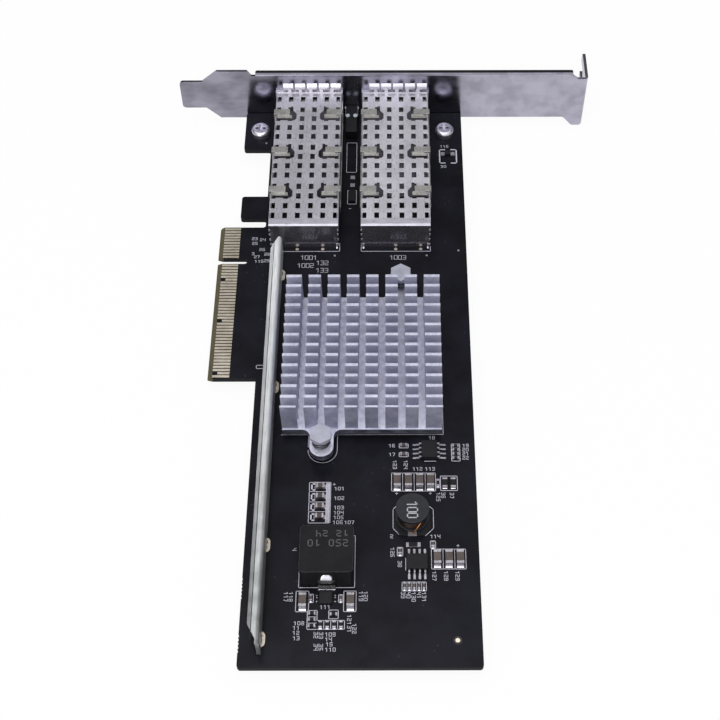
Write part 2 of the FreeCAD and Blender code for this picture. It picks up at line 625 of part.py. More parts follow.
def make_push_pins():
    pins = []
    for name, x, y in (("Near", "pin_x", "pin_y"), ("Far", "far_pin_x", "far_pin_y")):
        pins.append(fuse(name + "Pin", [
            pin_head(name, x, y),
            cylinder(name + "PinFlange", x, y, "pin_flange_low", "pin_flange/2",
                     "pin_head_low - pin_flange_low"),
            cylinder(name + "PinShaft", x, y, "-board_thick - 0.2", "pin_shaft/2",
                     "pin_head_high + board_thick + 0.2"),
            pin_barb(name, x, y)]))
    node(group("PushPins", pins), "push_pins")


def pin_head(name, x, y):
    head = doc.addObject("Part::Prism", name + "PinHead")
    head.Polygon = 6
    bind(head, Circumradius="pin_head/2", Height="pin_head_high - pin_head_low")
    place(head, x, y, "pin_head_low")
    head.Placement.Rotation = FreeCAD.Rotation(FreeCAD.Vector(0, 0, 1), 30)
    return head


def pin_barb(name, x, y):
    cone = doc.addObject("Part::Cone", name + "PinBarb")
    bind(cone, Radius1="pin_shaft/2 - 0.6", Radius2="pin_shaft/2 + 0.45", Height="1.3")
    place(cone, x, y, "-board_thick - 1.35")
    return cone


def make_springs():
    path = doc.addObject("Part::Helix", "CoilPath")
    bind(path, Pitch="spring_pitch", Height="pin_flange_low - sink_low - sink_base - 2*spring_wire",
         Radius="spring_wide/2 - spring_wire/2")
    place(path, "pin_x", "pin_y", "sink_low + sink_base + spring_wire")
    wire = doc.addObject("Part::RegularPolygon", "CoilWire")
    wire.Polygon = 12
    bind(wire, Circumradius="spring_wire/2")
    place(wire, "pin_x + spring_wide/2 - spring_wire/2", "pin_y", "sink_low + sink_base + spring_wire")
    wire.Placement.Rotation = FreeCAD.Rotation(FreeCAD.Vector(1, 0, 0), 90)
    coil = doc.addObject("Part::Sweep", "NearSpring")
    coil.Sections = [wire]
    coil.Spine = (path, [])
    coil.Solid = True
    coil.Frenet = True
    twin = group("FarSpring", [coil])
    place(twin, "far_pin_x - pin_x", "far_pin_y - pin_y")
    node(group("Springs", [coil, twin]), "push_pin_springs")


def make_lights():
    shell = box("Holder", "holder_left", "holder_rear", "0", "holder_wide",
                "bracket_inner - 0.15 - holder_rear", "holder_high")
    bores = []
    lenses = []
    for name, x in (("Left", "light_left"), ("Right", "light_right")):
        for kind, radius in (("Bore", "lens_wide/2"), ("Lens", "lens_wide/2")):
            rod = cylinder(name + kind, x, "bracket_inner + metal + 0.3", "light_level", radius,
                           "metal + 3")
            rod.Placement.Rotation = FreeCAD.Rotation(FreeCAD.Vector(1, 0, 0), 90)
            (bores if kind == "Bore" else lenses).append(rod)
        lenses.append(cylinder(name + "Window", x, "window_y", "holder_high", "window_wide/2", "0.3"))
    node(cut("LedHolder", shell, fuse("HolderBores", bores)), "led_holder")
    node(group("LedLenses", lenses), "led_lenses")


def make_stiffener():
    owner = body("Stiffener")
    section = sketch(owner, "BarSection", "XZ_Plane", "-bar_front")
    loop(section, [
        ("bar_right - bar_metal", "0.2"), ("bar_right", "0.2"), ("bar_right", "bar_high"),
        ("crease_x + crease_deep", "bar_high"), ("crease_x", "bar_high - crease_deep"),
        ("crease_x - crease_deep", "bar_high"), ("bar_left", "bar_high - flange_droop"),
        ("bar_left", "bar_high - flange_droop - bar_metal"),
        ("bar_right - bar_metal", "bar_high - bar_metal")])
    bar = pad(owner, "Bar", section, "bar_front - bar_rear")
    bar = fillet(owner, "BarOuterBend", bar, "bar_metal + 0.1", lambda edge: (
        edge.BoundBox.YLength > 50 and abs(edge.BoundBox.Center.x - value("bar_right")) < 0.01
        and edge.BoundBox.Center.z > 5))
    trims = sketch(owner, "FlangeTrims", "XY_Plane", "bar_high + 0.1")
    loop(trims, [
        ("bar_left - 1", "flange_front"), ("bar_left", "flange_front"),
        ("bar_right - bar_metal", "bar_front"), ("bar_right - bar_metal", "bar_front + 1"),
        ("bar_left - 1", "bar_front + 1")])
    loop(trims, [
        ("bar_left - 1", "bar_rear - 1"), ("bar_right - bar_metal", "bar_rear - 1"),
        ("bar_right - bar_metal", "bar_rear + 1"), ("bar_left", "flange_rear"),
        ("bar_left - 1", "flange_rear")])
    pocket(owner, "FlangeTrimsCut", trims, "bar_metal + flange_droop + 0.2")
    legs = sketch(owner, "LegOutlines", "XY_Plane", "0.3")
    for y in BAR_FEET:
        rectangle(legs, "bar_right - bar_metal", "%s - leg_wide/2" % y,
                  "bar_right", "%s + leg_wide/2" % y)
    pad(owner, "Legs", legs, "board_thick + 0.3 + 0.6", reverse=True)
    node(owner, "stiffener_bar")
    rings = []
    for index, y in enumerate(BAR_FEET):
        outer = slot_shape("Ring%d" % index, str(y), "0", "pad_ring/2", "pad_thick")
        hole = slot_shape("RingHole%d" % index, str(y), "-1", "bar_hole/2", "2")
        rings.append(cut("Annulus%d" % index, outer, hole))
    node(group("Annuli", rings), "ground_rings")


def slot_shape(name, y, z, radius, height):
    x = "bar_right - bar_metal/2"
    return fuse(name, [
        box(name + "Middle", x + " - " + radius, y + " - bar_hole_reach", z, "2*" + radius,
            "2*bar_hole_reach", height),
        cylinder(name + "NearEnd", x, y + " - bar_hole_reach", z, radius, height),
        cylinder(name + "FarEnd", x, y + " + bar_hole_reach", z, radius, height)])


# Surface-mounted components: rows of (centre x, centre y, size x, size y, height, end length)

CERAMICS = [(x, -70.2, 1.75, 3.5, 1.5, 0.6) for x in (49.35, 52.1, 54.9, 57.55)]
CERAMICS += [(x, -91.2, 1.75, 3.5, 1.5, 0.6) for x in (58.85, 61.6, 64.3)]
CERAMICS += [(x, -102.2, 1.75, 3.4, 1.5, 0.6) for x in (27.1, 38.3)]
SMALL_CERAMICS = [(30.4, y, 2.0, 1.25, 1.0, 0.45) for y in (-71.5, -74.3, -77.1, -79.9)]
SMALL_CERAMICS += [(51.0, y, 1.6, 0.8, 0.7, 0.35) for y in (-59.7, -62.3)]
SMALL_CERAMICS += [(50.96 + 1.14 * i, -98.35, 0.55, 1.6, 0.6, 0.35) for i in range(5)]
SMALL_CERAMICS += [(57.87, -87.4, 0.8, 1.5, 0.7, 0.35), (49.95, -89.25, 0.8, 1.6, 0.7, 0.35)]
SMALL_CERAMICS += [(36.0, -101.4, 0.55, 1.4, 0.6, 0.3), (29.0, -101.35, 0.55, 1.4, 0.6, 0.3)]
RESISTORS = [(x, -70.55, 1.25, 2.6, 0.6, 0.45) for x in (61.1, 63.15)]
RESISTORS += [(64.05, -59.8 - 1.2 * i, 1.5, 0.7, 0.45, 0.35) for i in range(4)]
RESISTORS += [(59.42, -70.57, 0.6, 1.7, 0.45, 0.35)]
RESISTORS += [(29.4, -105.2 - 1.55 * i, 1.6, 0.8, 0.45, 0.35) for i in range(3)]
RESISTORS += [(31.4 + 1.6 * i, -108.0, 0.8, 1.6, 0.45, 0.35) for i in range(4)]
RESISTORS += [(34.4, -105.4, 1.6, 0.8, 0.45, 0.35)]


def make_chips(label, table):
    middles = []
    ends = []
    for index, (x, y, wide, long_, high, end) in enumerate(table):
        name = "%s%d" % (label.title().replace("_", ""), index)
        along_y = long_ > wide
        x0, y0 = x - wide / 2, y - long_ / 2
        near_edge = "0.04"
        if along_y:
            middles.append(box(name + "Middle", x0, y0 + end, near_edge, wide, long_ - 2 * end, high))
            for tag, start in (("A", y0), ("B", y0 + long_ - end)):
                ends.append(box(name + tag, x0, start, "0", wide, end, high + 0.06))
        else:
            middles.append(box(name + "Middle", x0 + end, y0, near_edge, wide - 2 * end, long_, high))
            for tag, start in (("A", x0), ("B", x0 + wide - end)):
                ends.append(box(name + tag, start, y0, "0", end, long_, high + 0.06))
    node(group(label.title().replace("_", "") + "Bodies", middles), label + "_bodies")
    node(group(label.title().replace("_", "") + "Ends", ends), label + "_terminals")


def gull_lead(name, x, y, along, inward):
    """A foot on the pad and a shoulder that rises to the side of the package."""
    if along == "x":
        foot = box(name + "Foot", x - 0.5, y - 0.2, "0", 1.0, 0.4, 0.2)
        rise_x = x + 0.3 * inward
        rise = box(name + "Rise", rise_x - 0.1, y - 0.2, "0", 0.2, 0.4, 0.85)
        reach_x = rise_x if inward > 0 else rise_x - 0.55
        reach = box(name + "Reach", reach_x, y - 0.2, "0.65", 0.55, 0.4, 0.2)
    else:
        foot = box(name + "Foot", x - 0.2, y - 0.5, "0", 0.4, 1.0, 0.2)
        rise_y = y + 0.3 * inward
        rise = box(name + "Rise", x - 0.2, rise_y - 0.1, "0", 0.4, 0.2, 0.85)
        reach_y = rise_y if inward > 0 else rise_y - 0.55
        reach = box(name + "Reach", x - 0.2, reach_y, "0.65", 0.4, 0.55, 0.2)
    return fuse(name, [foot, rise, reach])


def make_small_outline():
    packages = [box("FirstPackage", 55.45, -63.85, 0.1, 3.9, 4.9, 1.4),
                box("SecondPackage", 51.55, -94.35, 0.1, 4.9, 3.9, 1.4)]
    leads = []
    for index in range(4):
        y = -61.4 + 1.27 * (index - 1.5)
        leads.append(gull_lead("FirstLeadA%d" % index, 54.6, y, "x", 1))
        leads.append(gull_lead("FirstLeadB%d" % index, 60.2, y, "x", -1))
        x = 54.0 + 1.27 * (index - 1.5)
        leads.append(gull_lead("SecondLeadA%d" % index, x, -95.2, "y", 1))
        leads.append(gull_lead("SecondLeadB%d" % index, x, -89.6, "y", -1))
    node(group("Packages", packages), "small_outline_bodies")
    node(group("Leads", leads), "small_outline_leads")


def make_inductors():
    block = doc.addObject("Part::Box", "PowerBlock")
    bind(block, Length="12.6", Width="12.2", Height="7.2")
    place(block, "26.4", "-98.2", "0.3")
    bevelled = doc.addObject("Part::Fillet", "PowerBody")
    bevelled.Base = block
    doc.recompute()
    corners = [number for number, edge in enumerate(block.Shape.Edges, start=1) if upright(edge)]
    bevelled.Edges = [(number, 1.0, 1.0) for number in corners]
    node(bevelled, "power_inductor_body")
    clips = []
    for name, foot_y, wall_y in (("Front", "-98.9", "-98.6"), ("Rear", "-86.0", "-86.0")):
        clips.append(fuse("Power" + name, [
            box("Power%sFoot" % name, "30.7", foot_y if name == "Front" else "-87.6", "0",
                "4.0", "2.3", "0.3"),
            box("Power%sWall" % name, "30.7", wall_y, "0", "4.0", "0.4", "3.2")]))
    node(group("PowerTerminals", clips), "power_inductor_terminals")

    core = fuse("DrumCore", [
        cylinder("DrumBase", "52.95", "-80.4", "0.5", "3.9", "0.8"),
        cylinder("DrumPost", "52.95", "-80.4", "0.6", "1.9", "4.8"),
        cylinder("DrumTop", "52.95", "-80.4", "4.5", "4.0", "1.0")])
    node(core, "drum_inductor_core")
    coil = cut("DrumCoil", cylinder("CoilOuter", "52.95", "-80.4", "1.3", "3.3", "3.2"),
               cylinder("CoilInner", "52.95", "-80.4", "1", "1.9", "4"))
    node(coil, "drum_inductor_winding")
    tabs = []
    for name, y in (("Near", "-85.2"), ("Far", "-78.2")):
        tabs.append(box("Drum%sTab" % name, "51.9", y, "0", "2.1", "2.6", "0.5"))
    node(group("DrumTabs", tabs), "drum_inductor_terminals")


def make_remaining_parts():
    half = "chip_size/2"
    node(box("Controller", "chip_x - " + half, "chip_y - " + half, "0", "chip_size", "chip_size",
             "chip_high"), "controller_chip")
    node(box("Pad", "chip_x - pad_size/2", "chip_y - pad_size/2", "chip_high", "pad_size",
             "pad_size", "sink_low - chip_high"), "thermal_pad")
    node(box("Regulator", "31.0", "-102.9", "0", "3.0", "3.0", "0.8"), "regulator_chip")
    node(box("DiodeBlock", "63.7", "39.3", "0", "1.7", "1.5", "0.9"), "diode_body")
    diode_ends = [box("DiodeA", "62.6", "39.45", "0", "1.1", "1.2", "0.35"),
                  box("DiodeB", "65.4", "39.45", "0", "1.1", "1.2", "0.35")]
    node(group("DiodeEnds", diode_ends), "diode_terminals")
    node(box("Oscillator", "35.9", "21.3", "0", "1.8", "4.2", "0.9"), "oscillator")
    lands = [cylinder("Fiducial", "63.12", "-111.88", "0", "0.55", "pad_thick")]
    for index, x in enumerate((21.78, 28.88, 49.21, 56.18)):
        lands.append(cylinder("CageVia%d" % index, x, "4.2", "0", "0.45", "pad_thick"))
    node(group("Lands", lands), "gold_lands")
    tinned = [box("TestPad%d" % index, "36.2", y - 0.65, "0", "1.3", "1.3", "pad_thick")
              for index, y in enumerate((31.0, 28.06))]
    tinned.append(box("DrumLand", "51.4", "-88.0", "0", "3.5", "1.2", "pad_thick"))
    node(group("Tinned", tinned), "tinned_lands")


make_board()
make_fingers("FingersTop", "edge_fingers_component_side", "0", (17, 31, 48))
make_fingers("FingersBottom", "edge_fingers_solder_side", "-board_thick - finger_thick", ())
make_bracket()
make_screws()
make_cage("Left", "0")
make_cage("Right", "cage_pitch")
make_lights()
make_heat_sink()
make_push_pins()
make_springs()
make_stiffener()
make_inductors()
make_small_outline()
make_chips("ceramic_capacitor", CERAMICS)
make_chips("small_capacitor", SMALL_CERAMICS)
make_chips("chip_resistor", RESISTORS)
make_remaining_parts()
doc.recompute()

for item in doc.Objects:
    if "Invalid" in item.State or "Error" in item.State:
        raise RuntimeError("%s did not compute" % item.Name)
os.makedirs("parts", exist_ok=True)
for item in nodes:
    shape = item.Shape
    if shape.isNull() or not shape.isValid():
        raise RuntimeError("%s has no valid shape" % item.Label)
    shape.exportStep(os.path.join("parts", item.Label + ".step"))
    print(item.Label, len(shape.Solids), round(shape.Volume, 1))
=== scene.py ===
import json
import math
import bpy
import bmesh
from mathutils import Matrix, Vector

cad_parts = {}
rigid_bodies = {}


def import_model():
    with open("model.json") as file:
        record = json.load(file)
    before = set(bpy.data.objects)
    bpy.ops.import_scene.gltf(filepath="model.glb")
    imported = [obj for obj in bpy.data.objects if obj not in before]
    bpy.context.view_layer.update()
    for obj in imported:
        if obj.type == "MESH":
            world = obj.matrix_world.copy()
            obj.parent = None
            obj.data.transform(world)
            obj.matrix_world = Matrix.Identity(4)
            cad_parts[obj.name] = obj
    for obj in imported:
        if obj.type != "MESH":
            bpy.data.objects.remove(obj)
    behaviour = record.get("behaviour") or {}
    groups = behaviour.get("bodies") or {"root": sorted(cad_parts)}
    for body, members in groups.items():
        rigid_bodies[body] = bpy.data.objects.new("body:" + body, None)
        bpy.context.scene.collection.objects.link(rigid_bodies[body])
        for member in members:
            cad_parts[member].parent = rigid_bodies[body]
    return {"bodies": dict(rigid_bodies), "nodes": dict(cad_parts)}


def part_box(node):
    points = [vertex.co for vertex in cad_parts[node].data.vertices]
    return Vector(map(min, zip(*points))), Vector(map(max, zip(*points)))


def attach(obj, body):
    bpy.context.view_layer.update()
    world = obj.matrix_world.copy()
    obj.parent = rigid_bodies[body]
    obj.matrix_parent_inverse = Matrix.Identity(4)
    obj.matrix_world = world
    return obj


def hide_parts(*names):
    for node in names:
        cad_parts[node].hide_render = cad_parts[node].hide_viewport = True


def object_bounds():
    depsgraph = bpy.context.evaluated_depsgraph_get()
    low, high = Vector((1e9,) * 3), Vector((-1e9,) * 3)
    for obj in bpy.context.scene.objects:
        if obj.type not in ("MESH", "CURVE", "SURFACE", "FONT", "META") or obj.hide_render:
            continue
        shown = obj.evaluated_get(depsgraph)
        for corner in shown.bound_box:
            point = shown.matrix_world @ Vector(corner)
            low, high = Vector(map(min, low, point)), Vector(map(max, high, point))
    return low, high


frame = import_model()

cadBounds = [list(corner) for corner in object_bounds()]
mm = 0.001
bodyName = list(frame["bodies"])[0]
print("frame loaded:", len(frame["nodes"]), "nodes")


def linear(hexColour):
    # sRGB hex to the linear value that the shaders use
    values = [int(hexColour[i:i + 2], 16) / 255 for i in (1, 3, 5)]
    return tuple(v / 12.92 if v <= 0.04045 else ((v + 0.055) / 1.055) ** 2.4 for v in values) + (1.0,)


def addNode(tree, kind, settings=None, **sockets):
    # a socket is named by its label, or by its number as i0, i1, i2
    node = tree.nodes.new(kind)
    for name, value in (settings or {}).items():
        setattr(node, name, value)
    for name, value in sockets.items():
        numbered = name[0] == "i" and name[1:].isdigit()
        socket = node.inputs[int(name[1:]) if numbered else name.replace("_", " ")]
        if isinstance(value, bpy.types.NodeSocket):
            tree.links.new(value, socket)
        else:
            socket.default_value = value
    return node


def startMaterial(name):
    material = bpy.data.materials.new(name)
    material.use_nodes = True
    tree = material.node_tree
    tree.nodes.clear()
    shader = tree.nodes.new("ShaderNodeBsdfPrincipled")
    output = tree.nodes.new("ShaderNodeOutputMaterial")
    tree.links.new(shader.outputs[0], output.inputs[0])
    place = tree.nodes.new("ShaderNodeTexCoord").outputs["Object"]
    return material, tree, shader, place


def perMm(sizeMm):
    # texture scale for a feature of that size, because the coordinates are in metres
    return 1000.0 / sizeMm


spans = {
    # the part of the noise that each use takes
    "colour": (0.36, 0.62), "gloss": (0.3, 0.7), "zone": (0.4, 0.6), "ink": (0.3, 0.55),
    "corner": (0.98, 0.8),  # agreement of the rounded normal with the flat one, from no painted highlight to a full one
    "edgeHighlightShare": 0.3,  # share of the painted highlight colour at a corner, where a finish gives none
}


def finishSurface(tree, shader, look, fine, broad):
    # one blend of fine and broad drift sets the colour, the fine part sets gloss and relief
    share = addNode(tree, "ShaderNodeMath", {"operation": "MULTIPLY"}, i0=broad, i1=1 - look["fineShare"])
    drift = addNode(tree, "ShaderNodeMath", {"operation": "MULTIPLY_ADD"}, i0=fine, i1=look["fineShare"],
                    i2=share.outputs[0])
    level = addNode(tree, "ShaderNodeMapRange", Value=drift.outputs[0], From_Min=spans["colour"][0],
                    From_Max=spans["colour"][1])
    colour = addNode(tree, "ShaderNodeMixRGB", Fac=level.outputs[0], Color1=linear(look["dark"]),
                     Color2=linear(look["light"]))
    gloss = addNode(tree, "ShaderNodeMapRange", Value=fine, From_Min=spans["gloss"][0],
                    From_Max=spans["gloss"][1], To_Min=look["smooth"], To_Max=look["rough"])
    tree.links.new(gloss.outputs[0], shader.inputs["Roughness"])
    edge = addNode(tree, "ShaderNodeBevel", {"samples": 4}, Radius=look["edge"] * mm)
    relief = addNode(tree, "ShaderNodeBump", Height=fine, Distance=look["deep"] * mm,
                     Strength=look["relief"], Normal=edge.outputs[0])
    tree.links.new(relief.outputs[0], shader.inputs["Normal"])
    # a painted highlight lightens the corners, where the rounded normal turns from the flat one
    flat = tree.nodes.new("ShaderNodeNewGeometry").outputs["True Normal"]
    corner = addNode(tree, "ShaderNodeVectorMath", {"operation": "DOT_PRODUCT"}, i0=edge.outputs[0], i1=flat)
    highlightMask = addNode(tree, "ShaderNodeMapRange", Value=corner.outputs["Value"], From_Min=spans["corner"][0],
                  From_Max=spans["corner"][1], To_Min=0.0, To_Max=look.get("edgeHighlightShare", spans["edgeHighlightShare"]))
    edgeHighlight = addNode(tree, "ShaderNodeMixRGB", Fac=highlightMask.outputs[0], Color1=colour.outputs[0],
                   Color2=linear(look.get("edgeHighlight", look["light"])))
    return edgeHighlight


def shadeZone(tree, colour, place, zone):
    # a part of the surface, picked by where it lies in mm and by how it faces, takes another colour
    spot = addNode(tree, "ShaderNodeSeparateXYZ", Vector=place)
    measures = {"x": (spot.outputs[0], mm), "y": (spot.outputs[1], mm), "z": (spot.outputs[2], mm)}
    wanted = [measure for measure, low, high in zone["where"]]
    if "flat" in wanted:  # 1 on a level face and 0 on an upright one
        normal = tree.nodes.new("ShaderNodeNewGeometry").outputs["True Normal"]
        facing = addNode(tree, "ShaderNodeSeparateXYZ", Vector=normal)
        flat = addNode(tree, "ShaderNodeMath", {"operation": "ABSOLUTE"}, i0=facing.outputs[2])
        measures["flat"] = (flat.outputs[0], 1)
    if "across" in wanted:  # distance from the nearer of two lines, one on each side of a middle
        shift = addNode(tree, "ShaderNodeMath", {"operation": "SUBTRACT"}, i0=spot.outputs[0],
                        i1=zone["middle"] * mm)
        mirrored = addNode(tree, "ShaderNodeMath", {"operation": "ABSOLUTE"}, i0=shift.outputs[0])
        local = addNode(tree, "ShaderNodeMath", {"operation": "SUBTRACT"}, i0=mirrored.outputs[0],
                        i1=zone["apart"] * mm)
        across = addNode(tree, "ShaderNodeMath", {"operation": "ABSOLUTE"}, i0=local.outputs[0])
        measures["across"] = (across.outputs[0], mm)
    noise = addNode(tree, "ShaderNodeTexNoise", Vector=place, Scale=perMm(zone["grain"]), Detail=4.0)
    share = addNode(tree, "ShaderNodeMapRange", Value=noise.outputs[0], From_Min=spans["zone"][0],
                    From_Max=spans["zone"][1], To_Min=zone["share"][0], To_Max=zone["share"][1])
    for measure, low, high in zone["where"]:
        source, unit = measures[measure]
        match = addNode(tree, "ShaderNodeMath", {"operation": "COMPARE"}, i0=source,
                        i1=(low + high) / 2 * unit, i2=(high - low) / 2 * unit)
        share = addNode(tree, "ShaderNodeMath", {"operation": "MULTIPLY"}, i0=share.outputs[0],
                        i1=match.outputs[0])
    if "fade" in zone:
        axis, start, end = zone["fade"]
        fade = addNode(tree, "ShaderNodeMapRange", Value=spot.outputs[axis], From_Min=start * mm,
                       From_Max=end * mm)
        share = addNode(tree, "ShaderNodeMath", {"operation": "MULTIPLY"}, i0=share.outputs[0],
                        i1=fade.outputs[0])
    return addNode(tree, "ShaderNodeMixRGB", Fac=share.outputs[0], Color1=colour.outputs[0],
                   Color2=linear(zone["colour"]))


def metalFinish(name, look):
    material, tree, shader, place = startMaterial(name)
    along = addNode(tree, "ShaderNodeMapping", Vector=place, Scale=look["stretch"])
    streak = addNode(tree, "ShaderNodeTexNoise", Vector=along.outputs[0], Scale=perMm(look["grain"]),
                     Detail=4.0, Roughness=0.6)
    cloud = addNode(tree, "ShaderNodeTexNoise", Vector=place, Scale=perMm(look["cloud"]), Detail=2.0)
    colour = finishSurface(tree, shader, look, streak.outputs[0], cloud.outputs[0])
    for zone in look.get("zones", ()):
        colour = shadeZone(tree, colour, place, zone)
    tree.links.new(colour.outputs[0], shader.inputs["Base Color"])
    shader.inputs["Metallic"].default_value = look["metallic"]
    return material


def mouldedFinish(name, look):
    material, tree, shader, place = startMaterial(name)
    speck = addNode(tree, "ShaderNodeTexNoise", Vector=place, Scale=perMm(look["grain"]), Detail=5.0)
    cloud = addNode(tree, "ShaderNodeTexNoise", Vector=place, Scale=perMm(look["cloud"]), Detail=2.0)
    colour = finishSurface(tree, shader, look, speck.outputs[0], cloud.outputs[0])
    tree.links.new(colour.outputs[0], shader.inputs["Base Color"])
    shader.inputs["IOR"].default_value = look["ior"]
    shader.inputs["Specular IOR Level"].default_value = look["level"]
    return material


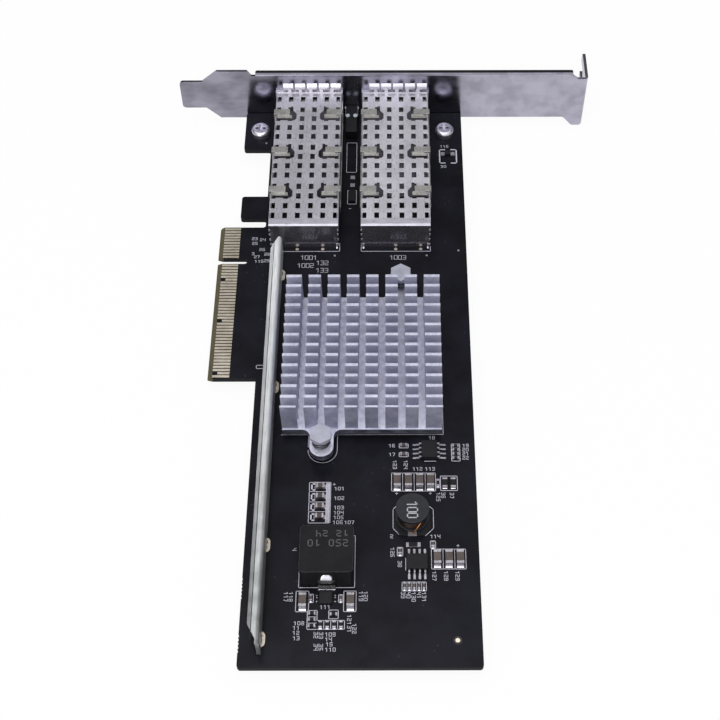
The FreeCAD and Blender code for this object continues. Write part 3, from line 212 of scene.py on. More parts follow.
# grain, cloud, edge and deep are in mm, and so are the grain of a zone and its bounds, apart from flat;
# a fade gives the number of its axis, then where it starts and ends
metals = {
    # electroplated hard gold: a pale warm sheen with faint wipe marks
    "hardGoldPlate": {
        "dark": "#aca28f", "light": "#d2c9b8", "metallic": 0.75, "smooth": 0.24, "rough": 0.4,
        "stretch": (0.1, 1, 1), "grain": 0.3, "cloud": 9, "fineShare": 0.5, "edge": 0.02,
        "deep": 0.01, "relief": 0.15},
    # nickel-plated steel sheet, cold rolled: a soft mirror that shows its surroundings blurred
    "nickelPlatedSteelSheet": {
        "dark": "#787681", "light": "#9b99a7", "metallic": 1.0, "smooth": 0.14, "rough": 0.21,
        "stretch": (0.35, 1, 1), "grain": 1.8, "cloud": 8, "fineShare": 0.3, "edge": 0.1,
        "deep": 0.01, "relief": 0.05, "zones": [
            # painted light: paler to the right of the middle
            {"where": (), "fade": (0, 52, 78), "grain": 5, "share": (0.4, 0.8), "colour": "#b7b5c4"},
            # the rolled lip and the screw tab turn away from the light
            {"where": (("x", 7, 102), ("y", 57.3, 64), ("z", 14.5, 18)), "grain": 6, "share": (0.8, 0.92),
             "colour": "#434248"},
            {"where": (("x", 7, 102), ("z", 15.5, 18)), "fade": (0, 10, 80), "grain": 6,
             "share": (0.7, 0.85), "colour": "#434248"},
            {"where": (("y", 58.3, 69), ("x", 100, 107)), "grain": 6, "share": (0.6, 0.8),
             "colour": "#83848d"}]},
    # nickel-plated machine screw, cold headed: brighter and a little scuffed
    "nickelPlatedScrew": {
        "dark": "#a5a3ad", "light": "#c8c6cf", "metallic": 0.9, "smooth": 0.14, "rough": 0.28,
        "stretch": (1, 1, 1), "grain": 0.4, "cloud": 3, "fineShare": 0.5, "edge": 0.12,
        "deep": 0.01, "relief": 0.2},
    # tin-plated copper alloy sheet, blanked and folded: satin grey with a pale bloom, paler on the right
    "tinPlatedSheet": {
        "dark": "#aeacb3", "light": "#cac8d0", "metallic": 0.7, "smooth": 0.26, "rough": 0.42,
        "stretch": (1, 0.5, 1), "grain": 0.6, "cloud": 12, "fineShare": 0.4, "edge": 0.1,
        "deep": 0.01, "relief": 0.12, "zones": [
            {"where": (), "fade": (0, 36, 44), "grain": 6, "share": (0.3, 0.6), "colour": "#e9e7ee"}]},
    # the same tin, burnished where the sheet is folded
    "burnishedTinFold": {
        "dark": "#a9a7b1", "light": "#c3c1cb", "metallic": 0.6, "smooth": 0.26, "rough": 0.4,
        "stretch": (0.3, 1, 1), "grain": 0.8, "cloud": 5, "fineShare": 0.5, "edge": 0.06,
        "deep": 0.01, "relief": 0.04},
    # the same sheet; inside the closed box it gathers no light from the room
    "tinPlatedTub": {
        "dark": "#93919a", "light": "#adabb3", "metallic": 0.9, "smooth": 0.16, "rough": 0.24,
        "stretch": (1, 0.5, 1), "grain": 3, "cloud": 12, "fineShare": 0.4, "edge": 0.1,
        "deep": 0.01, "relief": 0.03, "zones": [
            {"middle": 36.55, "apart": 12.65, "grain": 2, "share": (0.95, 1.0), "colour": "#737279",
             "where": (("across", -1, 9.45), ("y", 5.1, 59), ("z", -1, 8.72))}]},
    # tinned bronze strip that stands in shade: dark, with a soft sheen
    "shadedBronzeStrip": {
        "dark": "#403e3f", "light": "#5c5a5b", "metallic": 0.9, "smooth": 0.3, "rough": 0.45,
        "stretch": (1, 0.5, 1), "grain": 0.6, "cloud": 6, "fineShare": 0.5, "edge": 0.05,
        "deep": 0.01, "relief": 0.1},
    # spring steel strip, hardened: greyer and greener than the tin beside it
    "springSteelStrip": {
        "dark": "#959490", "light": "#b6b5b2", "metallic": 0.7, "smooth": 0.26, "rough": 0.4,
        "stretch": (1, 0.5, 1), "grain": 0.6, "cloud": 8, "fineShare": 0.5, "edge": 0.1,
        "deep": 0.01, "relief": 0.12},
    # beryllium copper gasket, bright tin finish, painted lighter than the right-hand collar: each finger
    # throws a highlight
    "litGasketStrip": {
        "dark": "#c9c6d0", "light": "#e4e2ea", "metallic": 0.55, "smooth": 0.2, "rough": 0.34,
        "stretch": (1, 1, 1), "grain": 0.6, "cloud": 6, "fineShare": 0.5, "edge": 0.12,
        "deep": 0.01, "relief": 0.1},
    # zinc-plated steel bar, roll formed: pale and brushed along its length, with painted shade darkening it
    # towards its low end
    "zincPlatedBar": {
        "dark": "#d6d8da", "light": "#f5f6f7", "metallic": 0.58, "smooth": 0.26, "rough": 0.46,
        "stretch": (1, 0.06, 1), "grain": 0.35, "cloud": 20, "fineShare": 0.7, "edge": 0.1,
        "deep": 0.015, "relief": 0.25, "zones": [
            {"where": (), "fade": (1, -5, -112), "grain": 4, "share": (0.75, 0.95), "colour": "#797c7c"}]},
    # extruded and cross-cut aluminium, bare: matt lilac grey with saw marks, and a strong painted highlight
    # on its edges
    "crossCutAluminium": {
        "dark": "#b0b1c5", "light": "#d2d3e3", "metallic": 0.6, "smooth": 0.4, "rough": 0.6,
        "stretch": (1, 0.4, 1), "grain": 0.4, "cloud": 7, "fineShare": 0.6, "edge": 0.09,
        "deep": 0.012, "relief": 0.35, "edgeHighlightShare": 0.5, "edgeHighlight": "#e6e7f2", "zones": [
            # darker patches on the floors of the channels, and painted light brightening them towards the
            # front end
            {"where": (("z", 3.3, 3.6), ("flat", 0.9, 1.1)), "grain": 1.3, "share": (0.0, 0.36),
             "colour": "#8d8986"},
            {"where": (("z", 3.3, 3.6), ("flat", 0.9, 1.1)), "fade": (1, -44, -57), "grain": 2,
             "share": (0.3, 0.7), "colour": "#ebecf6"},
            # painted shade on the faces of the front row of fins, then darker painted shade on the upright
            # sawn edge of the base
            {"where": (("y", -57.6, -56.6), ("z", 3.45, 13.3), ("flat", -0.1, 0.5)), "grain": 2.5,
             "share": (0.35, 0.75), "colour": "#8c8dab"},
            {"where": (("z", 1.7, 3.3), ("flat", -0.1, 0.5)), "grain": 3, "share": (0.75, 0.95),
             "colour": "#3c3d4d"}]},
    # music wire, cold drawn: painted dark for the shade it stands in under the head of the pin, and tight in
    # its highlights
    "springSteelWire": {
        "dark": "#38373c", "light": "#66656b", "metallic": 0.9, "smooth": 0.2, "rough": 0.3,
        "stretch": (1, 1, 1), "grain": 0.5, "cloud": 3, "fineShare": 0.5, "edge": 0.03,
        "deep": 0.005, "relief": 0.1},
    # matt tin over solder: grainy silver, with a painted highlight at its rounded edges
    "tinnedTerminal": {
        "dark": "#7f7c81", "light": "#aeabb0", "metallic": 0.75, "smooth": 0.24, "rough": 0.44,
        "stretch": (1, 1, 1), "grain": 0.28, "cloud": 3, "fineShare": 0.6, "edge": 0.07,
        "deep": 0.015, "relief": 0.35},
    # enamelled copper wire: nearly black under its brown varnish, copper where light strikes
    "enamelledCopperWire": {
        "dark": "#150e0b", "light": "#382215", "metallic": 0.7, "smooth": 0.16, "rough": 0.28,
        "stretch": (1, 1, 1), "grain": 0.5, "cloud": 3, "fineShare": 0.5, "edge": 0.02,
        "deep": 0.005, "relief": 0.1},
    # the stripped end of the same wire: bright orange metal
    "bareCopperWire": {
        "dark": "#9a5a30", "light": "#c98a58", "metallic": 0.85, "smooth": 0.2, "rough": 0.34,
        "stretch": (1, 1, 1), "grain": 0.3, "cloud": 2, "fineShare": 0.5, "edge": 0.02,
        "deep": 0.005, "relief": 0.1},
    # reflowed solder: a bright skin, smooth as a drop
    "reflowedSolder": {
        "dark": "#c2c0c7", "light": "#e6e4ea", "metallic": 0.85, "smooth": 0.12, "rough": 0.24,
        "stretch": (1, 1, 1), "grain": 0.35, "cloud": 2, "fineShare": 0.5, "edge": 0.03,
        "deep": 0.01, "relief": 0.15},
}
mouldings = {
    # nylon 6/6, injection moulded: translucent grey with a waxy skin
    "mouldedNylon": {
        "dark": "#9b9cab", "light": "#b1b2c2", "smooth": 0.34, "rough": 0.46, "grain": 0.25, "cloud": 3,
        "fineShare": 0.4, "edge": 0.25, "deep": 0.02, "relief": 0.2, "ior": 1.53, "level": 0.4},
    # liquid crystal polymer, moulded: near black with flow marks
    "blackConnectorPlastic": {
        "dark": "#0b0b0d", "light": "#151518", "smooth": 0.38, "rough": 0.5, "grain": 0.2, "cloud": 3,
        "fineShare": 0.4, "edge": 0.1, "deep": 0.02, "relief": 0.15, "ior": 1.6, "level": 0.18, "edgeHighlightShare": 0.1},
    # filled epoxy, transfer moulded: fine matt charcoal
    "epoxyPackage": {
        "dark": "#101012", "light": "#1b1b1e", "smooth": 0.42, "rough": 0.55, "grain": 0.12, "cloud": 2,
        "fineShare": 0.5, "edge": 0.08, "deep": 0.012, "relief": 0.25, "ior": 1.5, "level": 0.18},
    # pressed iron powder, resin bonded: dark and granular, with a grey painted highlight on its corners
    "pressedIronPowder": {
        "dark": "#0f0f11", "light": "#1b1b1e", "smooth": 0.44, "rough": 0.58, "grain": 0.18, "cloud": 3,
        "fineShare": 0.6, "edge": 0.14, "deep": 0.02, "relief": 0.4, "ior": 1.5, "level": 0.13,
        "edgeHighlightShare": 1.0, "edgeHighlight": "#77767c"},
    # ferrite, fired and ground flat on top: slate grey with a pale painted highlight on its rim
    "groundFerrite": {
        "dark": "#141518", "light": "#24252b", "smooth": 0.4, "rough": 0.54, "grain": 0.25, "cloud": 2,
        "fineShare": 0.6, "edge": 0.16, "deep": 0.015, "relief": 0.4, "ior": 1.6, "level": 0.2,
        "edgeHighlightShare": 0.8, "edgeHighlight": "#6c6d74"},
    # multilayer ceramic, fired: brown grey with a soft glaze
    "firedCeramic": {
        "dark": "#3f3735", "light": "#5a4f4b", "smooth": 0.34, "rough": 0.46, "grain": 0.15, "cloud": 2,
        "fineShare": 0.5, "edge": 0.1, "deep": 0.01, "relief": 0.2, "ior": 1.5, "level": 0.35},
    # glass epoxy laminate with the ink cleared away: dark brown weave
    "bareLaminate": {
        "dark": "#15110f", "light": "#2a211b", "smooth": 0.45, "rough": 0.6, "grain": 0.3, "cloud": 2,
        "fineShare": 0.6, "edge": 0.02, "deep": 0.01, "relief": 0.3, "ior": 1.55, "level": 0.35},
    # silicone sheet filled with ceramic: dull grey putty
    "filledSiliconeSheet": {
        "dark": "#77777c", "light": "#8b8b90", "smooth": 0.65, "rough": 0.78, "grain": 0.2, "cloud": 3,
        "fineShare": 0.5, "edge": 0.05, "deep": 0.02, "relief": 0.3, "ior": 1.4, "level": 0.3},
}

boardInk = {  # cloud, pour, viaApart, ply, bevelEnd, block and deep are in mm
    "dark": "#131318", "light": "#1a1a21", "cloud": 9, "level": 0.08,
    "faceRough": 0.2, "edgeRough": 0.6, "flatFrom": 0.97,
    "copper": "#1b1c24", "pour": 5, "pourShare": 0.35,
    "via": "#2c2c31", "viaApart": 1.9, "viaReach": 0.13, "viaFrom": 0.56,
    "resin": "#3a3728", "glass": "#6b6551", "ply": 0.4, "bevelEnd": 1.4,
    "edgeDark": "#0e0e10", "edgeLight": "#26252a",
    "block": 2.4, "steps": 1.2, "deep": 0.01, "relief": 0.22,
}


def solderMask():
    # glossy black ink cured over copper: flat and dark, with faint relief where the copper ends
    material, tree, shader, place = startMaterial("blackSolderMask")
    normal = tree.nodes.new("ShaderNodeNewGeometry").outputs["True Normal"]
    upward = addNode(tree, "ShaderNodeSeparateXYZ", Vector=normal)
    flat = addNode(tree, "ShaderNodeMath", {"operation": "ABSOLUTE"}, i0=upward.outputs[2])
    face = addNode(tree, "ShaderNodeMath", {"operation": "GREATER_THAN"}, i0=flat.outputs[0],
                   i1=boardInk["flatFrom"])
    drift = addNode(tree, "ShaderNodeTexNoise", Vector=place, Scale=perMm(boardInk["cloud"]), Detail=3.0)
    level = addNode(tree, "ShaderNodeMapRange", Value=drift.outputs[0], From_Min=spans["zone"][0],
                    From_Max=spans["zone"][1])
    ink = addNode(tree, "ShaderNodeMixRGB", Fac=level.outputs[0], Color1=linear(boardInk["dark"]),
                  Color2=linear(boardInk["light"]))
    # copper pours end in square blocks about 5 mm across, each a shade apart
    pours = addNode(tree, "ShaderNodeTexVoronoi", {"distance": "CHEBYCHEV"}, Vector=place,
                    Scale=perMm(boardInk["pour"]))
    shade = addNode(tree, "ShaderNodeSeparateXYZ", Vector=pours.outputs["Color"])
    pour = addNode(tree, "ShaderNodeMath", {"operation": "MULTIPLY"}, i0=shade.outputs[0],
                   i1=boardInk["pourShare"])
    copper = addNode(tree, "ShaderNodeMixRGB", Fac=pour.outputs[0], Color1=ink.outputs[0],
                     Color2=linear(boardInk["copper"]))
    # vias 0.5 mm wide, tented by the ink and some 1.9 mm apart, gather in patches
    vias = addNode(tree, "ShaderNodeTexVoronoi", Vector=place, Scale=perMm(boardInk["viaApart"]))
    dots = addNode(tree, "ShaderNodeMath", {"operation": "LESS_THAN"}, i0=vias.outputs["Distance"],
                   i1=boardInk["viaReach"])
    patch = addNode(tree, "ShaderNodeMath", {"operation": "GREATER_THAN"}, i0=drift.outputs[0],
                    i1=boardInk["viaFrom"])
    shown = addNode(tree, "ShaderNodeMath", {"operation": "MULTIPLY"}, i0=dots.outputs[0],
                    i1=patch.outputs[0])
    dotted = addNode(tree, "ShaderNodeMixRGB", Fac=shown.outputs[0], Color1=copper.outputs[0],
                     Color2=linear(boardInk["via"]))
    # glass cloth and resin show at the bevel of the edge connector, in plies drawn 0.4 mm thick so that
    # they show
    ply = addNode(tree, "ShaderNodeTexNoise", Vector=place, Scale=perMm(boardInk["ply"]), Detail=3.0)
    laminate = addNode(tree, "ShaderNodeMixRGB", Fac=ply.outputs[0], Color1=linear(boardInk["resin"]),
                       Color2=linear(boardInk["glass"]))
    # ink runs over every other edge
    inked = addNode(tree, "ShaderNodeMixRGB", Fac=ply.outputs[0], Color1=linear(boardInk["edgeDark"]),
                    Color2=linear(boardInk["edgeLight"]))
    spot = addNode(tree, "ShaderNodeSeparateXYZ", Vector=place)
    bevel = addNode(tree, "ShaderNodeMath", {"operation": "LESS_THAN"}, i0=spot.outputs[0],
                    i1=boardInk["bevelEnd"] * mm)
    border = addNode(tree, "ShaderNodeMixRGB", Fac=bevel.outputs[0], Color1=inked.outputs[0],
                     Color2=laminate.outputs[0])
    whole = addNode(tree, "ShaderNodeMixRGB", Fac=face.outputs[0], Color1=border.outputs[0],
                    Color2=dotted.outputs[0])
    tree.links.new(whole.outputs[0], shader.inputs["Base Color"])
    gloss = addNode(tree, "ShaderNodeMapRange", Value=face.outputs[0], To_Min=boardInk["edgeRough"],
                    To_Max=boardInk["faceRough"])
    tree.links.new(gloss.outputs[0], shader.inputs["Roughness"])
    # the ink steps by a hundredth of a millimetre at most, from block to block of copper
    blocks = addNode(tree, "ShaderNodeTexVoronoi", {"distance": "CHEBYCHEV"}, Vector=place,
                     Scale=perMm(boardInk["block"]))
    steps = addNode(tree, "ShaderNodeTexWave", {"bands_direction": "DIAGONAL"},
                    Vector=blocks.outputs["Color"], Scale=boardInk["steps"])
    relief = addNode(tree, "ShaderNodeBump", Height=steps.outputs["Color"], Distance=boardInk["deep"] * mm,
                     Strength=boardInk["relief"])
    tree.links.new(relief.outputs[0], shader.inputs["Normal"])
    shader.inputs["Specular IOR Level"].default_value = boardInk["level"]
    return material


inks = {
    # screen-printed epoxy ink: flat lilac white, slightly broken at the edges
    "screenPrintedInk": {"dark": "#a19fac", "light": "#cbc9d5", "rough": 0.55, "grain": 0.25},
    # numbers marked by laser on resin: a dim grey bloom
    "laserMarking": {"dark": "#39383c", "light": "#56555a", "rough": 0.6, "grain": 0.25},
    # numbers stamped on ferrite in thin ink
    "stampedInk": {"dark": "#8a8b92", "light": "#b5b6bd", "rough": 0.5, "grain": 0.25},
}


def printedInk(name, look):
    material, tree, shader, place = startMaterial(name)
    speck = addNode(tree, "ShaderNodeTexNoise", Vector=place, Scale=perMm(look["grain"]), Detail=3.0)
    level = addNode(tree, "ShaderNodeMapRange", Value=speck.outputs[0], From_Min=spans["ink"][0],
                    From_Max=spans["ink"][1])
    colour = addNode(tree, "ShaderNodeMixRGB", Fac=level.outputs[0], Color1=linear(look["dark"]),
                     Color2=linear(look["light"]))
    tree.links.new(colour.outputs[0], shader.inputs["Base Color"])
    shader.inputs["Roughness"].default_value = look["rough"]
    return material


lightPipe = {"dark": "#c9dbe6", "light": "#eef5fa", "haze": 0.6, "smooth": 0.1, "rough": 0.2, "clear": 0.3,
             "ior": 1.58}


def clearLens():
    # polycarbonate light pipe, moulded: cloudy glass with a bluish cast
    material, tree, shader, place = startMaterial("clearPolycarbonate")
    haze = addNode(tree, "ShaderNodeTexNoise", Vector=place, Scale=perMm(lightPipe["haze"]), Detail=2.0)
    colour = addNode(tree, "ShaderNodeMixRGB", Fac=haze.outputs[0], Color1=linear(lightPipe["dark"]),
                     Color2=linear(lightPipe["light"]))
    tree.links.new(colour.outputs[0], shader.inputs["Base Color"])
    gloss = addNode(tree, "ShaderNodeMapRange", Value=haze.outputs[0], To_Min=lightPipe["smooth"],
                    To_Max=lightPipe["rough"])
    tree.links.new(gloss.outputs[0], shader.inputs["Roughness"])
    shader.inputs["Transmission Weight"].default_value = lightPipe["clear"]
    shader.inputs["IOR"].default_value = lightPipe["ior"]
    return material


finishes = {name: metalFinish(name, look) for name, look in metals.items()}
finishes.update({name: mouldedFinish(name, look) for name, look in mouldings.items()})
finishes.update({name: printedInk(name, look) for name, look in inks.items()})
finishes.update({"blackSolderMask": solderMask(), "clearPolycarbonate": clearLens()})
nodeFinish = {
    "pcb": "blackSolderMask", "edge_fingers_component_side": "hardGoldPlate",
    "edge_fingers_solder_side": "hardGoldPlate", "bracket": "nickelPlatedSteelSheet",
    "bracket_screws": "nickelPlatedScrew", "led_holder": "blackConnectorPlastic",
    "led_lenses": "clearPolycarbonate", "heat_sink": "crossCutAluminium", "push_pins": "mouldedNylon",
    "push_pin_springs": "springSteelWire", "stiffener_bar": "zincPlatedBar", "ground_rings": "hardGoldPlate",
    "power_inductor_body": "pressedIronPowder", "power_inductor_terminals": "shadedBronzeStrip",
    "drum_inductor_core": "groundFerrite", "drum_inductor_winding": "enamelledCopperWire",
    "drum_inductor_terminals": "tinnedTerminal", "small_outline_bodies": "epoxyPackage",
    "small_outline_leads": "tinnedTerminal", "ceramic_capacitor_bodies": "firedCeramic",
    "ceramic_capacitor_terminals": "tinnedTerminal", "small_capacitor_bodies": "firedCeramic",
    "small_capacitor_terminals": "tinnedTerminal", "chip_resistor_bodies": "epoxyPackage",
    "chip_resistor_terminals": "tinnedTerminal", "controller_chip": "epoxyPackage",
    "thermal_pad": "filledSiliconeSheet", "regulator_chip": "epoxyPackage", "diode_body": "epoxyPackage",
    "diode_terminals": "tinnedTerminal", "oscillator": "epoxyPackage", "gold_lands": "hardGoldPlate",
    "tinned_lands": "tinnedTerminal",
}
for side in ("left", "right"):
    nodeFinish.update({"cage_" + side: "tinPlatedTub", "cage_cover_" + side: "tinPlatedSheet",
                       "cage_clip_" + side: "springSteelStrip", "emi_collar_" + side: "litGasketStrip",
                       "host_connector_" + side: "blackConnectorPlastic"})
nodeFinish["emi_collar_right"] = "burnishedTinFold"  # painted shade: duller than its neighbour
for name, node in frame["nodes"].items():
    node.data.materials.clear()
    node.data.materials.append(finishes[nodeFinish[name]])
print("materials ready:", len(finishes))


def addPiece(name, mesh, finish):
    piece = bpy.data.objects.new(name, mesh)
    bpy.context.scene.collection.objects.link(piece)
    mesh.materials.append(finishes[finish])
    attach(piece, bodyName)
    return piece


def closeMesh(name, form, smooth=False):
    mesh = bpy.data.meshes.new(name)
    form.to_mesh(mesh)
    form.free()
    for face in mesh.polygons:
        face.use_smooth = smooth
    return mesh


def strokeMesh(name, lines, width, lift):
    # flat strips of print, a little longer than their lines so that the corners close
    form = bmesh.new()
    half = width / 2
    for line in lines:
        for (x0, y0), (x1, y1) in zip(line, line[1:]):
            along = Vector((x1 - x0, y1 - y0)).normalized()
            side = Vector((-along.y, along.x)) * half
            ends = (Vector((x0, y0)) - along * half, Vector((x1, y1)) + along * half)
            corners = [ends[0] - side, ends[1] - side, ends[1] + side, ends[0] + side]
            form.faces.new([form.verts.new((c.x * mm, c.y * mm, lift * mm)) for c in corners])
    return closeMesh(name, form)


silk = {  # all in mm on the board's top
    "width": 0.16, "lift": 0.012,
    "cells": [  # closed outlines, from the corner lowest in x and y to the highest
        (26.0, -98.6, 39.2, -84.9), (60.05, -72.6, 64.2, -68.5), (25.5, -104.7, 28.5, -99.5),
        (12.6, -36.05, 15.3, -35.0), (36.7, -104.7, 39.6, -99.5), (58.97, -71.8, 59.87, -69.36),
        (35.0, 33.0, 37.9, 44.7), (35.5, 20.8, 38.0, 26.0), (49.87, -60.33, 52.15, -59.13),
        (49.87, -62.9, 52.15, -61.7), (63.0, -64.2, 65.1, -59.2), (57.25, -88.4, 58.5, -86.4),
        (49.3, -90.4, 50.6, -88.1), (35.5, -102.4, 36.5, -100.4), (28.46, -102.42, 29.58, -100.26),
        (28.3, -109.1, 30.6, -104.4), (30.6, -109.1, 37.0, -106.9), (33.3, -106.5, 35.5, -104.3)],
    "rows": [  # outlines divided by lines along y
        ((47.95, -72.73, 58.81, -67.6), (50.68, 53.53, 56.27)),
        ((57.44, -93.84, 65.65, -88.6), (60.22, 63.0)),
        ((50.39, -99.5, 56.1, -97.2), (51.53, 52.67, 53.82, 54.96))],
    "column": ((27.7, -81.5, 32.95, -70.2), (-72.8, -75.7, -78.4)),  # divided by lines along x
    "paths": [
        [(48.3, -77.8), (48.3, -83.0), (49.7, -84.6)], [(58.1, -77.8), (58.1, -83.0), (56.15, -85.0)],
        [(48.3, -77.8), (49.7, -76.2), (56.15, -76.2), (58.1, -77.8)],
        [(56.2, -64.23), (59.06, -64.23)], [(28.3, -106.0), (30.6, -106.0)],
        [(28.3, -107.55), (30.6, -107.55)],
        [(32.2, -109.1), (32.2, -106.9)], [(33.8, -109.1), (33.8, -106.9)], [(35.4, -109.1), (35.4, -106.9)],
        [(63.0, -60.4), (65.1, -60.4)], [(63.0, -61.6), (65.1, -61.6)], [(63.0, -62.8), (65.1, -62.8)],
        [(51.28, -94.1), (51.28, -91.0)], [(18.05, 3.4), (33.6, 3.4), (33.6, 6.4)],
        [(39.6, 6.4), (39.6, 3.4), (58.85, 3.4), (58.85, 5.1)],
        [(34.31, -56.4), (61.04, -56.4), (61.04, -14.8)], [(27.0, -60.0), (27.0, -56.4), (20.1, -56.4)],
        [(36.0, 19.07), (36.5, 19.07)]],
    "ear": {"middle": (30.66, -60.97), "radius": 3.65, "end": (34.31, -56.4)},  # round the ear of the sink
}


def boxPath(x0, y0, x1, y1):
    return [(x0, y0), (x1, y0), (x1, y1), (x0, y1), (x0, y0)]


strokes = [boxPath(*cell) for cell in silk["cells"]]
for outline, divisions in silk["rows"]:
    strokes.append(boxPath(*outline))
    strokes += [[(x, outline[1]), (x, outline[3])] for x in divisions]
outline, divisions = silk["column"]
strokes.append(boxPath(*outline))
strokes += [[(outline[0], y), (outline[2], y)] for y in divisions]
strokes += silk["paths"]
ear = silk["ear"]
earArc = [(ear["middle"][0] + ear["radius"] * math.cos(a), ear["middle"][1] + ear["radius"] * math.sin(a))
          for a in [math.radians(180 + 10 * i) for i in range(19)]]  # half a circle, ten degrees a step
strokes.append(earArc + [ear["end"]])
addPiece("board_outlines", strokeMesh("board_outlines", strokes, silk["width"], silk["lift"]),
         "screenPrintedInk")
print("board outlines:", len(strokes), "strokes")

heavy = {  # bolder strokes: brackets round parts, and a bar of three lines beside the column of four
    "width": 0.36, "lift": 0.014,
    "paths": [[(63.7, 41.9), (62.2, 41.9), (62.2, 36.6), (63.7, 36.6)],
              [(65.6, 41.9), (67.1, 41.9), (67.1, 36.6), (65.6, 36.6)]],
    "rows": (-71.5, -74.3, -77.1, -79.9), "left": 28.3, "right": 29.0, "reach": 0.85,
    "bars": (32.0, 32.3, 32.6), "barStart": -70.6, "barEnd": -81.2,
}
heavyStrokes = list(heavy["paths"])
for y in heavy["rows"]:  # a bracket left of each capacitor in the column of four
    above, below = y + heavy["reach"], y - heavy["reach"]
    heavyStrokes.append([(heavy["right"], above), (heavy["left"], above), (heavy["left"], below),
                         (heavy["right"], below)])
heavyStrokes += [[(x, heavy["barStart"]), (x, heavy["barEnd"])] for x in heavy["bars"]]
addPiece("board_brackets", strokeMesh("board_brackets", heavyStrokes, heavy["width"], heavy["lift"]),
         "screenPrintedInk")

# strokes of each digit, on a grid one wide and two tall
glyphs = {
    "0": [[(0, 0), (1, 0), (1, 2), (0, 2), (0, 0)]],
    "1": [[(0.1, 1.6), (0.6, 2), (0.6, 0)]],
    "2": [[(0, 2), (1, 2), (1, 1), (0, 0.9), (0, 0), (1, 0)]],
    "3": [[(0, 2), (1, 2), (1, 0), (0, 0)], [(0.3, 1), (1, 1)]],
    "4": [[(0, 2), (0, 1), (1, 1)], [(1, 2), (1, 0)]],
    "5": [[(1, 2), (0, 2), (0, 1), (1, 1), (1, 0), (0, 0)]],
    "6": [[(1, 2), (0, 2), (0, 0), (1, 0), (1, 1), (0, 1)]],
    "7": [[(0, 2), (1, 2), (0.4, 0)]],
    "8": [[(0, 0), (1, 0), (1, 2), (0, 2), (0, 0)], [(0, 1), (1, 1)]],
    "9": [[(0, 0), (1, 0), (1, 2), (0, 2), (0, 1), (1, 1)]],
    "+": [[(0, 1), (1, 1)], [(0.5, 1.6), (0.5, 0.4)]],
}
numbers = {  # plain counting numbers beside the parts
    "size": (0.85, 0.56, 0.88), "farSize": (1.4, 0.85, 1.18),  # how tall, how wide and how far apart
    "width": 0.14, "lift": 0.012,
    "start": {1: 2, 2: 11, 3: 101, 4: 1001},  # the first number that has so many digits
    "across": [  # left end, foot, how many digits
        (33.9, -72.4, 3), (33.9, -75.1, 3), (33.9, -77.7, 3), (33.85, -79.1, 3), (33.85, -80.4, 3),
        (33.7, -81.75, 3), (36.5, -81.75, 3), (25.26, -108.0, 3), (25.1, -109.15, 2), (25.1, -110.4, 2),
        (25.2, -111.7, 2), (32.6, -110.8, 3), (32.65, -112.0, 2), (32.85, -113.2, 2), (32.7, -114.5, 3),
        (31.2, -103.95, 3), (47.3, -60.1, 2), (47.35, -62.65, 2), (57.4, -57.8, 2), (65.85, -60.1, 2),
        (65.8, -61.3, 2), (65.8, -62.5, 2), (65.75, -63.7, 2), (53.25, -66.85, 3), (56.35, -66.85, 3),
        (47.65, -85.6, 1), (57.3, -85.65, 3), (9.05, 7.6, 2), (11.3, 7.2, 2), (9.15, 5.9, 2), (11.3, 3.7, 2),
        (9.3, 2.2, 1), (10.0, 1.1, 2), (10.2, -0.5, 3), (12.8, 2.0, 2), (12.8, -0.3, 2), (62.45, 42.8, 3),
        (62.5, 34.8, 2)],
    "down": [  # left side, top, how many digits
        (24.2, -88.3, 1), (22.7, -99.75, 3), (23.85, -99.75, 3), (40.3, -99.65, 3), (41.4, -99.65, 3),
        (37.65, -105.55, 3), (37.7, -108.3, 2), (38.85, -107.8, 3), (30.0, -109.8, 2), (31.2, -109.9, 2),
        (30.1, -112.75, 2), (31.25, -112.75, 2), (48.35, -64.05, 3), (51.05, -64.05, 3), (59.0, -73.2, 3),
        (60.25, -73.2, 2), (62.35, -73.3, 2), (47.7, -88.25, 3), (49.45, -91.8, 2), (57.6, -94.5, 3),
        (60.4, -94.5, 3), (63.1, -94.5, 3), (50.2, -99.85, 2), (51.45, -99.85, 2), (52.65, -99.85, 3),
        (53.9, -99.85, 2), (55.1, -99.85, 3)],
    # the larger numbers near the cages read across as well
    "far": [(22.9, 0.5, 4), (22.1, -2.3, 4), (27.3, -1.4, 3), (27.3, -4.0, 3), (47.6, 0.5, 4)],
    "plus": [(33.5, -71.2), (48.9, -73.8), (57.2, -73.8), (63.6, -88.15)],
}


def numberLines(text, start, along, tall, wide, pitch):
    # strokes for a row of digits that reads in the direction given
    lines = []
    for place, digit in enumerate(text):
        for line in glyphs.get(digit, ()):
            spots = [(place * pitch + u * wide, v * tall / 2) for u, v in line]
            lines.append([(start[0] + u * along[0] - v * along[1], start[1] + u * along[1] + v * along[0])
                          for u, v in spots])
    return lines


numberStrokes = []
counts = dict(numbers["start"])
for along, rows, size in (((1, 0), numbers["across"], numbers["size"]),
                          ((0, -1), numbers["down"], numbers["size"]),
                          ((1, 0), numbers["far"], numbers["farSize"])):
    for x, y, digits in rows:
        numberStrokes += numberLines(str(counts[digits]), (x, y), along, *size)
        counts[digits] += 1
for corner in numbers["plus"]:
    numberStrokes += numberLines("+", corner, (1, 0), *numbers["size"])
addPiece("board_numbers", strokeMesh("board_numbers", numberStrokes, numbers["width"], numbers["lift"]),
         "screenPrintedInk")

